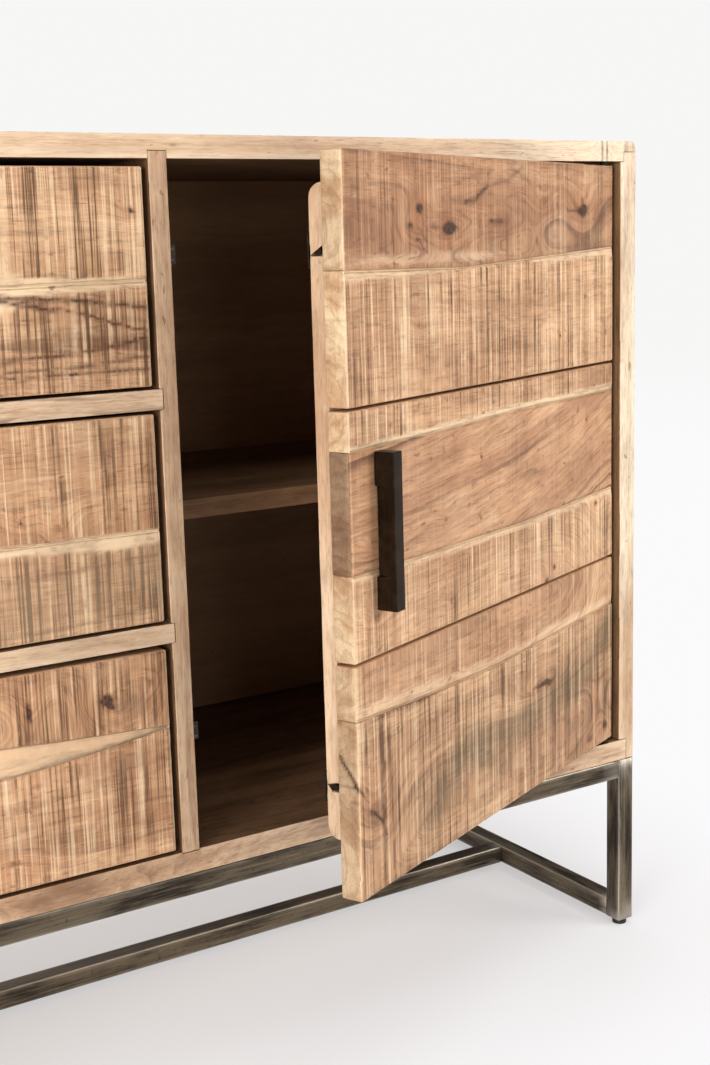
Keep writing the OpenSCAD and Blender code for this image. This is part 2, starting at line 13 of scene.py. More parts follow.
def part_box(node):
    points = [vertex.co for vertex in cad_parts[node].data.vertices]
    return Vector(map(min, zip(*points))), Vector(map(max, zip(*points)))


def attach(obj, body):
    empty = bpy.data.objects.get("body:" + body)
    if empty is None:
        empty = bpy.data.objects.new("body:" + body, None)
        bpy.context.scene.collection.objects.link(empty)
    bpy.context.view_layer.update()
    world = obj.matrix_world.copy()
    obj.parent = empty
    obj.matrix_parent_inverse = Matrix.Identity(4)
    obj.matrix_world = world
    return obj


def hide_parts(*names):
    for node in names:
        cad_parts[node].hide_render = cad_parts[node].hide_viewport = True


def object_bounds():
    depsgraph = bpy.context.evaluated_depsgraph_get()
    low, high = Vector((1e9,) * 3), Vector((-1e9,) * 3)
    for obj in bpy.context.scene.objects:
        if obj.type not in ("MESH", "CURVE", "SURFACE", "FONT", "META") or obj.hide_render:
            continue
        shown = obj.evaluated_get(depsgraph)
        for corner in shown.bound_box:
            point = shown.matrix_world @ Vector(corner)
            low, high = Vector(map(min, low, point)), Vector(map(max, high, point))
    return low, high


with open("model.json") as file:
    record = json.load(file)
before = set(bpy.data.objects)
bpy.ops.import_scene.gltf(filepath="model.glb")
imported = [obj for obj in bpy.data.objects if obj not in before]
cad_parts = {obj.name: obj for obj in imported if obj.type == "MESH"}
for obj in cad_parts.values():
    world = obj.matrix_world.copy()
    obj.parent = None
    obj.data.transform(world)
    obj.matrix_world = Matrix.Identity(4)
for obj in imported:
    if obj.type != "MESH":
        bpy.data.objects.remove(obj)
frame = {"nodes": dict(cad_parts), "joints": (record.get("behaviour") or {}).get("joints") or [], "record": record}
cad_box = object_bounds()
MM = 0.001
X, Y, Z = 0, 1, 2
SLOT_OF = {part["node"]: part["material_slot"] for part in frame["record"]["subparts"]}
ROOM_WHITE = (0.93, 0.925, 0.92)
FLAT = math.radians(1)
SHARP = math.radians(40)
TUBE = 20.0
HANDLE_ROUND = 0.45


# ---- camera, light and floor

def add_camera():
    """The photograph's view: an upright picture that crops the left of the sideboard."""
    place = Vector((-0.2935, -1.3856, 0.7281))
    yaw, pitch, roll = math.radians(32.63), math.radians(10.45), math.radians(-1.61)
    ahead = Vector((math.sin(yaw) * math.cos(pitch), math.cos(yaw) * math.cos(pitch), -math.sin(pitch)))
    level = Vector((math.cos(yaw), -math.sin(yaw), 0))
    above = level.cross(ahead)
    right = level * math.cos(roll) + above * math.sin(roll)
    up = above * math.cos(roll) - level * math.sin(roll)
    data = bpy.data.cameras.new("camera")
    data.lens = 52.55
    data.sensor_width = 36
    camera = bpy.data.objects.new("camera", data)
    bpy.context.scene.collection.objects.link(camera)
    turn = Matrix((right, up, -ahead)).transposed().to_4x4()
    camera.matrix_world = Matrix.Translation(place) @ turn
    bpy.context.scene.camera = camera


def add_area_light(name, place, target, size, power, colour=(1, 1, 1)):
    data = bpy.data.lights.new(name, "AREA")
    data.shape = "RECTANGLE"
    data.size, data.size_y = size
    data.energy = power
    data.color = colour
    lamp = bpy.data.objects.new(name, data)
    bpy.context.scene.collection.objects.link(lamp)
    lamp.location = place
    lamp.rotation_euler = (Vector(target) - Vector(place)).to_track_quat("-Z", "Y").to_euler()


def add_lights():
    """Large soft boxes far to both sides and overhead, weak ones in front and behind, in a white room."""
    middle = (0.3, 0, 0.5)
    warm = (1, 0.985, 0.965)
    add_area_light("left_box", (-3.3, -2.3, 1.1), middle, (1.6, 2.0), 132, warm)
    add_area_light("right_box", (3.2, -2.9, 1.5), middle, (1.8, 2.2), 100, warm)
    add_area_light("front_box", (-0.3, -3.6, 0.75), middle, (1.4, 1.0), 24)
    add_area_light("top_box", (0.2, -0.2, 3.4), (0.2, 0, 0), (4.5, 4.5), 125)
    add_area_light("back_box", (0.5, 3.6, 2.2), middle, (3, 2), 30)
    world = bpy.data.worlds.new("studio")
    bpy.context.scene.world = world
    world.use_nodes = True
    tree = world.node_tree
    shown = tree.nodes["Background"]
    shown.inputs["Color"].default_value = (*ROOM_WHITE, 1)
    ambient = tree.nodes.new("ShaderNodeBackground")
    ambient.inputs["Color"].default_value = (0.95, 0.97, 1, 1)
    ambient.inputs["Strength"].default_value = 0.08
    ray = tree.nodes.new("ShaderNodeLightPath")
    mix = tree.nodes.new("ShaderNodeMixShader")
    tree.links.new(ray.outputs["Is Camera Ray"], mix.inputs[0])
    tree.links.new(ambient.outputs[0], mix.inputs[1])
    tree.links.new(shown.outputs[0], mix.inputs[2])
    tree.links.new(mix.outputs[0], tree.nodes["World Output"].inputs["Surface"])
    view = bpy.context.scene.view_settings
    view.view_transform = "Standard"
    view.look = "None"


def add_floor():
    form = bmesh.new()
    bmesh.ops.create_circle(form, cap_ends=True, segments=96, radius=40)
    floor = bpy.data.objects.new("floor", mesh_from(form, "floor"))
    bpy.context.scene.collection.objects.link(floor)
    floor.data.materials.append(floor_material())


# ---- shader nodes

def srgb(red, green, blue):
    """A colour picked on a 0 to 255 screen scale, as the linear values that shaders take."""
    values = (red / 255, green / 255, blue / 255)
    return tuple(v / 12.92 if v < 0.0405 else ((v + 0.055) / 1.055) ** 2.4 for v in values)


class Shader:
    """Short calls for building one material's nodes. A value can be a number, a colour or a socket."""

    def __init__(self, name, roughness=0.5, metallic=0.0, specular=0.5):
        self.material = bpy.data.materials.new(name)
        self.material.use_nodes = True
        self.tree = self.material.node_tree
        self.shader = self.tree.nodes["Principled BSDF"]
        self.shader.inputs["Roughness"].default_value = roughness
        self.shader.inputs["Metallic"].default_value = metallic
        self.shader.inputs["Specular IOR Level"].default_value = specular

    def feed(self, socket, value):
        if isinstance(value, bpy.types.NodeSocket):
            self.tree.links.new(value, socket)
        else:
            socket.default_value = value

    def node(self, kind, inputs=(), **settings):
        """The outputs of a new node. Its inputs are given by name or number."""
        made = self.tree.nodes.new(kind)
        for key, value in settings.items():
            setattr(made, key, value)
        for socket, value in dict(inputs).items():
            self.feed(made.inputs[socket], value)
        return made.outputs

    def attribute(self, name):
        return self.node("ShaderNodeAttribute", attribute_name=name)["Vector"]

    def place(self):
        return self.node("ShaderNodeTexCoord")["Object"]

    def split(self, vector):
        return tuple(self.node("ShaderNodeSeparateXYZ", {0: vector}))

    def noise(self, vector, scale, detail=3.0, rough=0.55, shift=(0, 0, 0)):
        """Noise with its own scale along each axis, in features per metre."""
        stretched = self.node("ShaderNodeMapping", {"Vector": vector, "Scale": scale, "Location": shift})[0]
        inputs = {"Vector": stretched, "Scale": 1, "Detail": detail, "Roughness": rough}
        return self.node("ShaderNodeTexNoise", inputs)["Fac"]

    def math(self, operation, a, b=0.0):
        return self.node("ShaderNodeMath", {0: a, 1: b}, operation=operation)[0]

    def times(self, *values):
        return reduce(lambda a, b: self.math("MULTIPLY", a, b), values)

    def plus(self, *values):
        return reduce(lambda a, b: self.math("ADD", a, b), values)

    def rise(self, value, low, high, out_low=0.0, out_high=1.0):
        """Smoothly from out_low to out_high while value goes from low to high."""
        inputs = enumerate((value, low, high, out_low, out_high))
        return self.node("ShaderNodeMapRange", inputs, interpolation_type="SMOOTHSTEP")[0]

    def mix(self, share, a, b, blend="MIX"):
        a, b = (v if isinstance(v, bpy.types.NodeSocket) else (*v, 1) for v in (a, b))
        inputs = {"Factor": share, 6: a, 7: b}
        return self.node("ShaderNodeMix", inputs, data_type="RGBA", blend_type=blend)[2]

    def towards(self, base, other, most, value, low, high):
        """The base colour, turned towards another by most at most, while value goes from low to high."""
        return self.mix(self.rise(value, low, high, 0.0, most), base, other)

    def lifted(self, base, lift, tones):
        """The base colour, paler where lift is above 0 and darker where it is below."""
        base = self.mix(self.math("MAXIMUM", lift, 0.0), base, tones.pale)
        sunk = self.math("MAXIMUM", self.times(lift, -1.0), 0.0)
        return self.mix(sunk, base, self.mix(1.0, base, tones.dark, "MULTIPLY"))

    def knotted(self, base, knot, place):
        """The base colour with a knot's soft brown rim and its broken, nearly black heart."""
        grit = self.noise(place, (420, 420, 300), 4, 0.75, (7, 7, 7))
        heart = self.rise(self.plus(self.times(knot, 0.8), self.times(grit, 1.5)), 1.15, 1.70)
        stained = self.mix(self.times(knot, 0.86), base, srgb(98, 62, 40))
        return self.mix(self.times(heart, 0.85), stained, srgb(40, 26, 18))

    def colour(self, value):
        self.feed(self.shader.inputs["Base Color"], value)

    def roughness(self, value):
        self.feed(self.shader.inputs["Roughness"], value)

    def bump(self, height, distance):
        made = self.node("ShaderNodeBump", {"Distance": distance, "Height": height})
        self.feed(self.shader.inputs["Normal"], made[0])


def floor_material():
    """Pale studio floor that runs out into the white of the room."""
    s = Shader("studio_floor", roughness=0.55, specular=0.3)
    cloud = s.noise(s.place(), (1.2, 1.2, 1.2))
    s.colour(s.mix(cloud, (0.86, 0.845, 0.87), (0.90, 0.89, 0.91)))
    x, y, _ = s.split(s.place())
    half_width, half_depth = cad_box[1][X], -cad_box[0][Y] / 2
    beside = s.math("MAXIMUM", s.math("SUBTRACT", s.math("ABSOLUTE", x), half_width), 0.0)
    before = s.math("MAXIMUM", s.math("SUBTRACT", s.math("ABSOLUTE", y), half_depth), 0.0)
    far = s.math("SQRT", s.plus(s.times(beside, beside), s.times(before, before)))
    white = s.mix(s.rise(far, 2.0, 9.0), (0.965, 0.96, 0.965), ROOM_WHITE)
    glow = s.node("ShaderNodeEmission", {"Color": white})[0]
    share = s.rise(far, 0.0, 0.38, 0.45, 1.0)
    mixed = s.node("ShaderNodeMixShader", {0: share, 1: s.shader.outputs[0], 2: glow})[0]
    s.feed(s.tree.nodes["Material Output"].inputs["Surface"], mixed)
    return s.material


@dataclass
class Tones:
    """Colours of one wood: growth lines, its two main tones, sapwood and sawn ridges, and its sheen."""
    dark: tuple
    mid: tuple
    light: tuple
    pale: tuple
    gloss: float = 0.5


FRONT = Tones(srgb(100, 64, 42), srgb(184, 138, 101), srgb(211, 167, 127), srgb(240, 212, 174), 0.55)
FRAME = Tones(srgb(122, 86, 56), srgb(190, 154, 120), srgb(216, 187, 156), srgb(236, 220, 192), 0.45)
# Painted shade: the wood of the inner carcass faces and inside boards, darkened to stand for the shade inside the
# cabinet and in the narrow gaps.
PAINTED_SHADE_TONES = Tones(srgb(54, 34, 20), srgb(110, 80, 54), srgb(136, 102, 72), srgb(164, 128, 92), 0.5)
STREAK = srgb(84, 58, 36)
STAIN = srgb(98, 82, 58)


def wood_base(s, tones, flow, figure, sap):
    """Growth bands and lines, fibres and pores along the grain, as the wood grew."""
    bands = s.noise(flow, (1.6, 34, 18), 4, 0.6)
    bent = s.noise(flow, (2.4, 16, 14), 2, 0.5, (1, 2, 3))
    ring = s.split(flow)[1]
    lines = 0.0
    for rate, strength, shift in ((46.0, 0.9, 1), (120.0, 0.38, 8)):
        turn = s.math("FRACT", s.plus(s.times(ring, rate), s.times(bent, 4.5)))
        late = s.times(s.rise(turn, 0.55, 0.93), s.rise(turn, 1.0, 0.95))
        uneven = s.rise(s.noise(flow, (4, 45, 40), 2, 0.5, (shift, 9, 9)), 0.44, 0.62)
        lines = s.plus(s.times(late, uneven, strength), lines)
    base = s.mix(s.rise(bands, 0.34, 0.66), tones.mid, tones.light)
    base = s.mix(s.times(lines, figure), base, tones.dark)
    base = s.mix(s.times(sap, 0.78), base, s.mix(s.times(lines, 0.3), tones.pale, tones.mid))
    fibre = s.noise(flow, (22, 560, 460), 3, 0.75)
    mottle = s.noise(flow, (42, 230, 200), 4, 0.7, (2, 2, 2))
    pores = s.noise(flow, (70, 1000, 900), 2, 0.5, (5, 5, 5))
    base = s.towards(base, s.mix(0.55, base, tones.dark), 0.65, fibre, 0.46, 0.68)
    base = s.towards(base, s.mix(0.6, base, tones.dark), 0.52, mottle, 0.48, 0.68)
    base = s.towards(base, tones.pale, 0.28, mottle, 0.44, 0.28)
    open_pores = s.rise(pores, 0.60, 0.74)
    base = s.mix(s.times(open_pores, 0.45), base, tones.dark)
    pins = s.noise(flow, (110, 190, 190), 0, 0.5, (6, 6, 6))
    base = s.towards(base, s.mix(0.3, tones.dark, tones.mid), 0.75, pins, 0.78, 0.84)
    return base, fibre, open_pores, bands


def wood_material(name, tones):
    """Long grain. The mesh attributes it reads are flow (along the grain, across the rings and depth, in
    metres), marks (knots, sapwood, strength of the growth lines), tint (grey stain, red, lightness, which also
    carries painted highlights along the arrises) and saw (how sawn, saw pattern, heavy patches)."""
    s = Shader(name, specular=0.35)
    flow = s.attribute("flow")
    knot, sap, figure = s.split(s.attribute("marks"))
    grey, red, lift = s.split(s.attribute("tint"))
    sawn, pattern, heavy = s.split(s.attribute("saw"))
    place = s.place()
    base, fibre, open_pores, bands = wood_base(s, tones, flow, figure, sap)

    cloud = s.noise(place, (9, 9, 13), 4, 0.6)
    base = s.towards(base, s.mix(0.5, base, tones.dark), 0.50, cloud, 0.45, 0.68)
    base = s.towards(base, tones.pale, 0.18, cloud, 0.48, 0.30)
    reddened = s.mix(1.0, base, (0.86, 0.62, 0.52), "MULTIPLY")
    base = s.mix(s.times(red, s.rise(cloud, 0.3, 0.7, 0.5, 1.0)), base, reddened)

    fine = s.noise(place, (430, 430, 5), 2, 0.7)
    middle = s.noise(place, (180, 180, 3.2), 2, 0.6, (3, 3, 3))
    comb = s.plus(s.times(fine, 0.44), s.times(middle, 0.30), s.times(pattern, 0.26))
    rows = s.noise(place, (34, 34, 24), 3, 0.7, (2, 3, 4))
    worn = s.rise(rows, 0.38, 0.62)
    cuts = s.times(s.rise(comb, 0.50, 0.60), s.plus(s.times(worn, 0.70), s.times(heavy, 1.1), 0.22), sawn)
    ridges = s.times(s.rise(comb, 0.495, 0.41), s.rise(rows, 0.62, 0.38, 0.45, 1.0), sawn)
    base = s.mix(s.math("MINIMUM", cuts, 0.85), base, STREAK)
    base = s.mix(s.times(ridges, 0.66), base, tones.pale)

    base = s.mix(s.times(grey, s.rise(comb, 0.40, 0.60, 0.35, 0.9)), base, STAIN)
    base = s.knotted(base, knot, place)
    s.colour(s.lifted(base, lift, tones))

    s.roughness(s.plus(s.rise(bands, 0.3, 0.7, tones.gloss, tones.gloss + 0.1), s.times(sawn, 0.16)))
    relief = s.plus(s.times(fibre, 0.22), s.times(comb, sawn, -2.4), s.times(open_pores, -0.35))
    s.bump(relief, 0.0005)
    return s.material


def end_material(name, tones):
    """Cut ends: arcs of the growth rings, checks across them and open pores."""
    s = Shader(name, specular=0.3)
    flow = s.attribute("flow")
    knot = s.split(s.attribute("marks"))[0]
    lift = s.split(s.attribute("tint"))[2]
    place = s.place()
    ring = s.split(flow)[1]
    bent = s.noise(flow, (0, 60, 50), 2, 0.5)
    turn = s.math("FRACT", s.plus(s.times(ring, 95.0), s.times(bent, 3.0)))
    late = s.times(s.rise(turn, 0.35, 0.92), s.rise(turn, 1.0, 0.93))
    cloud = s.noise(place, (30, 30, 30), 4, 0.65)
    specks = s.noise(place, (900, 900, 900), 3, 0.7)
    strokes = s.noise(place, (500, 500, 60), 3, 0.65)
    base = s.mix(s.rise(cloud, 0.35, 0.65), tones.mid, tones.pale)
    base = s.mix(0.35, base, srgb(196, 168, 128))
    base = s.mix(s.times(late, 0.22), base, tones.dark)
    base = s.towards(base, s.mix(0.6, base, tones.dark), 0.5, specks, 0.45, 0.72)
    base = s.towards(base, s.mix(0.6, base, tones.dark), 0.35, strokes, 0.48, 0.7)
    base = s.knotted(base, knot, place)
    s.colour(s.lifted(base, lift, tones))
    s.roughness(s.rise(specks, 0.3, 0.7, tones.gloss + 0.05, tones.gloss + 0.25))
    s.bump(s.plus(specks, s.times(strokes, 0.5), s.times(late, -0.3)), 0.0003)
    return s.material


def steel_material(name, along):
    """Raw steel under lacquer: mill streaks along the tube, cloudy oxide, and a pale steel colour that is a
    painted highlight on the arrises and bright ground steel near the ends.
    """
    s = Shader(name, metallic=0.85)
    place = s.place()
    streak_scale, cloud_scale = [620.0] * 3, [60.0] * 3
    streak_scale[along], cloud_scale[along] = 16.0, 9.0
    streaks = s.noise(place, streak_scale, 4, 0.7)
    cloud = s.noise(place, cloud_scale, 5, 0.62, (4, 4, 4))
    specks = s.noise(place, (260, 260, 260), 3, 0.6)
    base = s.mix(s.rise(cloud, 0.36, 0.62), srgb(46, 39, 31), srgb(106, 93, 76))
    base = s.towards(base, srgb(140, 126, 106), 0.5, streaks, 0.48, 0.70)
    base = s.towards(base, srgb(36, 30, 25), 0.5, streaks, 0.46, 0.32)
    base = s.towards(base, srgb(44, 37, 30), 0.6, specks, 0.58, 0.76)
    # marks.x: a painted highlight along the tube's arrises, and bright ground steel near its ends.
    highlight_and_ground = s.split(s.attribute("marks"))[0]
    base = s.mix(s.times(highlight_and_ground, s.rise(cloud, 0.35, 0.6, 0.3, 0.85)), base, srgb(190, 182, 168))
    s.colour(base)
    s.roughness(s.rise(s.plus(s.times(cloud, 0.6), s.times(streaks, 0.4)), 0.3, 0.7, 0.34, 0.56))
    s.bump(s.plus(s.times(streaks, 0.5), s.times(specks, 0.5)), 0.00008)
    return s.material


def metal_material(name, colour, worn, rough):
    """Small fittings: fine brushing with darker and worn places."""
    s = Shader(name, metallic=1.0)
    brush = s.noise(s.place(), (500, 500, 12), 3, 0.65)
    cloud = s.noise(s.place(), (45, 45, 45), 4, 0.6)
    base = s.towards(colour, worn, 0.7, cloud, 0.4, 0.72)
    s.colour(s.towards(base, worn, 0.35, brush, 0.5, 0.8))
    s.roughness(s.rise(s.plus(s.times(brush, 0.5), s.times(cloud, 0.5)), 0.3, 0.7, rough, rough + 0.2))
    s.bump(brush, 0.00005)
    return s.material


def plastic_material(name, colour, worn, rough):
    s = Shader(name, specular=0.4)
    grit = s.noise(s.place(), (1500, 1500, 1500), 2, 0.6)
    cloud = s.noise(s.place(), (60, 60, 60), 3)
    s.colour(s.towards(colour, worn, 0.6, cloud, 0.4, 0.7))
    s.roughness(s.rise(grit, 0.3, 0.7, rough, rough + 0.15))
    s.bump(grit, 0.00006)
    return s.material


# ---- noise over points

def lattice_value(i, j, k, seed):
    """A steady pseudo-random number from -1 to 1 for each lattice point."""
    h = (i * 374761393 + j * 668265263 + k * 2147483647 + seed * 144665 + 1013904223) & 0xFFFFFFFF
    h = ((h ^ (h >> 13)) * 1274126177) & 0xFFFFFFFF
    h = ((h ^ (h >> 16)) * 2246822519) & 0xFFFFFFFF
    return (h & 0xFFFFF) / 0x7FFFF - 1.0


def wander(x, y, z, seed=0):
    """Smooth value noise, about -1 to 1."""
    x, y, z = np.broadcast_arrays(*(np.asarray(v, float) for v in (x, y, z)))
    corner = [np.floor(v).astype(np.int64) for v in (x, y, z)]
    part = [v - c for v, c in zip((x, y, z), corner)]
    ease = [t * t * (3 - 2 * t) for t in part]
    total = np.zeros(x.shape)
    for step in range(8):
        di, dj, dk = step & 1, step >> 1 & 1, step >> 2 & 1
        share = np.ones(x.shape)
        for side, t in zip((di, dj, dk), ease):
            share = share * (t if side else 1 - t)
        total += share * lattice_value(corner[0] + di, corner[1] + dj, corner[2] + dk, seed)
    return total


def layered(x, y, z, seed=0):
    """Three layers of noise, each twice as fine and half as strong as the one before."""
    return sum(wander(x * k, y * k, z * k, seed + 17 * n) / k for n, k in enumerate((1, 2, 4))) / 1.6


def unit(values):
    return np.clip(values, 0, 1)


def smooth(value, low, high):
    t = unit((value - low) / (high - low))
    return t * t * (3 - 2 * t)


def bell(a, b, at, size):
    return np.exp(-((a - at[0]) / size[0]) ** 2 - ((b - at[1]) / size[1]) ** 2)


def line_at(a, points):
    """Height of a broken line at each a. A plain number is a level line."""
    if isinstance(points, (int, float)):
        return np.full(np.shape(a), float(points))
    return np.interp(a, [p[0] for p in points], [p[1] for p in points])


def away_from_line(a, b, points):
    """Distance of each place to a broken line."""
    best = np.full(np.shape(a), 1e9)
    for (a0, b0), (a1, b1) in zip(points, points[1:]):
        da, db = a1 - a0, b1 - b0
        t = np.clip(((a - a0) * da + (b - b0) * db) / (da * da + db * db), 0, 1)
        best = np.minimum(best, np.hypot(a - a0 - t * da, b - b0 - t * db))
    return best


def grain_flow(along, across, deep, seed, pith, knots):
    """Along the grain, distance from the tree's pith, and depth: faces get arches and ends get arcs."""
    drift = 6.0 * wander(along / 330, 0.3, 0.7, seed) + 1.5 * wander(along / 110, 0.1, 0.2, seed + 5)
    ring = np.hypot(across - pith[0] + drift, deep - pith[1])
    ring = ring + 1.0 * layered(along / 130, across / 30, deep / 30, seed + 9)
    for at, size, _ in knots:
        wide = (2.6 * size[0] + 8, 2.2 * size[1] + 6)
        ring = ring + 0.9 * (size[0] + size[1]) * bell(along, across, at, wide)
    apart = (along + 997.0 * (seed % 13), ring + 131.0 * (seed % 29), deep + 53.0 * (seed % 7))
    return np.stack(apart, 1) * MM


# ---- meshes

def finished_mesh(name, points, faces):
    """A mesh of four-sided faces, from millimetres."""
    mesh = bpy.data.meshes.new(name)
    mesh.vertices.add(len(points))
    mesh.vertices.foreach_set("co", (points * MM).astype(np.float32).ravel())
    mesh.loops.add(faces.size)
    mesh.loops.foreach_set("vertex_index", faces.astype(np.int32).ravel())
    mesh.polygons.add(len(faces))
    mesh.polygons.foreach_set("loop_start", np.arange(0, faces.size, 4, dtype=np.int32))
    mesh.update(calc_edges=True)
    mesh.shade_smooth()
    return mesh


def put_attributes(mesh, **layers):
    for name, values in layers.items():
        layer = mesh.attributes.new(name, "FLOAT_VECTOR", "POINT")
        layer.data.foreach_set("vector", np.stack(values, 1).astype(np.float32).ravel())


def mesh_from(form, name):
    mesh = bpy.data.meshes.new(name)
    form.to_mesh(mesh)
    form.free()
    return mesh


def face_normals(mesh):
    flat = np.zeros(len(mesh.polygons) * 3, np.float32)
    mesh.polygons.foreach_get("normal", flat)
    return flat.reshape(-1, 3).astype(float)


def axis_points(low, high, pitch, edge_low, edge_high):
    """Places of the grid lines along one axis, close together at the rounded edges."""
    steps = max(1, int(round((high - low - edge_low - edge_high) / pitch)))
    inner = np.linspace(low + edge_low, high - edge_high, steps + 1)
    near = [low, low + 0.3 * edge_low, high - 0.3 * edge_high, high]
    return np.unique(np.round(np.concatenate([near, inner]), 4))


def surface_grid(lines):
    """Vertices and faces of a closed box whose faces carry the grid lines of three axes."""
    count = [len(v) for v in lines]
    quads = []
    for axis in range(3):
        u, v = (axis + 1) % 3, (axis + 2) % 3
        iu, iv = np.meshgrid(np.arange(count[u] - 1), np.arange(count[v] - 1), indexing="ij")
        for end in (0, count[axis] - 1):
            corner = []
            for du, dv in ((0, 0), (1, 0), (1, 1), (0, 1)):
                index = [None] * 3
                index[axis] = np.full(iu.size, end)
                index[u] = iu.ravel() + du
                index[v] = iv.ravel() + dv
                corner.append((index[0] * count[1] + index[1]) * count[2] + index[2])
            if end == 0:
                corner.reverse()
            quads.append(np.stack(corner, 1))
    faces = np.concatenate(quads)
    kept, flat = np.unique(faces.ravel(), return_inverse=True)
    i, rest = np.divmod(kept, count[1] * count[2])
    j, k = np.divmod(rest, count[2])
    return np.stack([lines[0][i], lines[1][j], lines[2][k]], 1), flat.reshape(-1, 4)


def rounded_box(low, high, pitch, edge_low, edge_high):
    """Grid over a box with rounded arrises. Gives its places on the plain box, the directions outward,
    its places on the rounded box, and the faces."""
    low, high = np.asarray(low, float), np.asarray(high, float)
    edge_low, edge_high = np.asarray(edge_low, float), np.asarray(edge_high, float)
    lines = [axis_points(low[n], high[n], pitch[n], edge_low[n], edge_high[n]) for n in range(3)]
    plain, faces = surface_grid(lines)
    edge = np.where(plain < (low + high) / 2, edge_low, edge_high)
    core = np.clip(plain, low + edge_low, high - edge_high)
    out = (plain - core) / edge
    normal = out / np.linalg.norm(out, axis=1)[:, None]
    return plain, normal, core + normal * edge, faces


def arris(p, low, high, reach):
    """1 on a board's arrises, falling to 0 at reach from them."""
    gap = np.sort(np.minimum(p - low, high - p), axis=1)
    return 1 - smooth(gap[:, 1], 0, reach)


def add_piece(name, mesh, body, materials, nodes, matrix=None):
    piece = bpy.data.objects.new(name, mesh)
    bpy.context.scene.collection.objects.link(piece)
    for material in materials:
        mesh.materials.append(material)
    if matrix is not None:
        piece.matrix_world = matrix
    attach(piece, body)
    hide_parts(*nodes)
    return piece


# ---- sizes from the frame

def corners(node):
    low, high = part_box(node)
    return np.array(low) / MM, np.array(high) / MM


def mirrored(box):
    low, high = box
    return np.array([-high[X], low[Y], low[Z]]), np.array([-low[X], high[Y], high[Z]])


UNDERSIDE = corners("bottom_board")[0][Z]
HINGE = next(joint for joint in frame["joints"] if joint["name"] == "right_door_hinge")
PIVOT = Matrix.Translation(Vector(HINGE["pos_m"]))
OPENED = PIVOT @ Matrix.Rotation(math.radians(-HINGE["range_deg"][0]), 4, "Z") @ PIVOT.inverted()


# ---- sawn planks

@dataclass
class Plank:
    """What can be seen on one sawn plank. Places are (a, b), in millimetres: a runs from the door's free
    edge or from the drawer front's left end, and b is the height above the carcass's underside."""
    seed: int
    pith: tuple = (-40, 30)
    sweep: tuple = ((0, 0),)
    sawn: float = 1.0
    red: float = 0.0
    tone: float = 0.0
    end_tone: float = 0.0
    figure: float = 0.45
    rest: float = 0.0
    top_bevel: tuple = ()
    low_bevel: tuple = ()
    bevel: float = 1.4
    bevel_pale: float = 1.0
    knots: tuple = ()
    streaks: tuple = ()
    stains: tuple = ()
    pale: tuple = ()
    heavy: tuple = ()
    end_cracks: tuple = ()


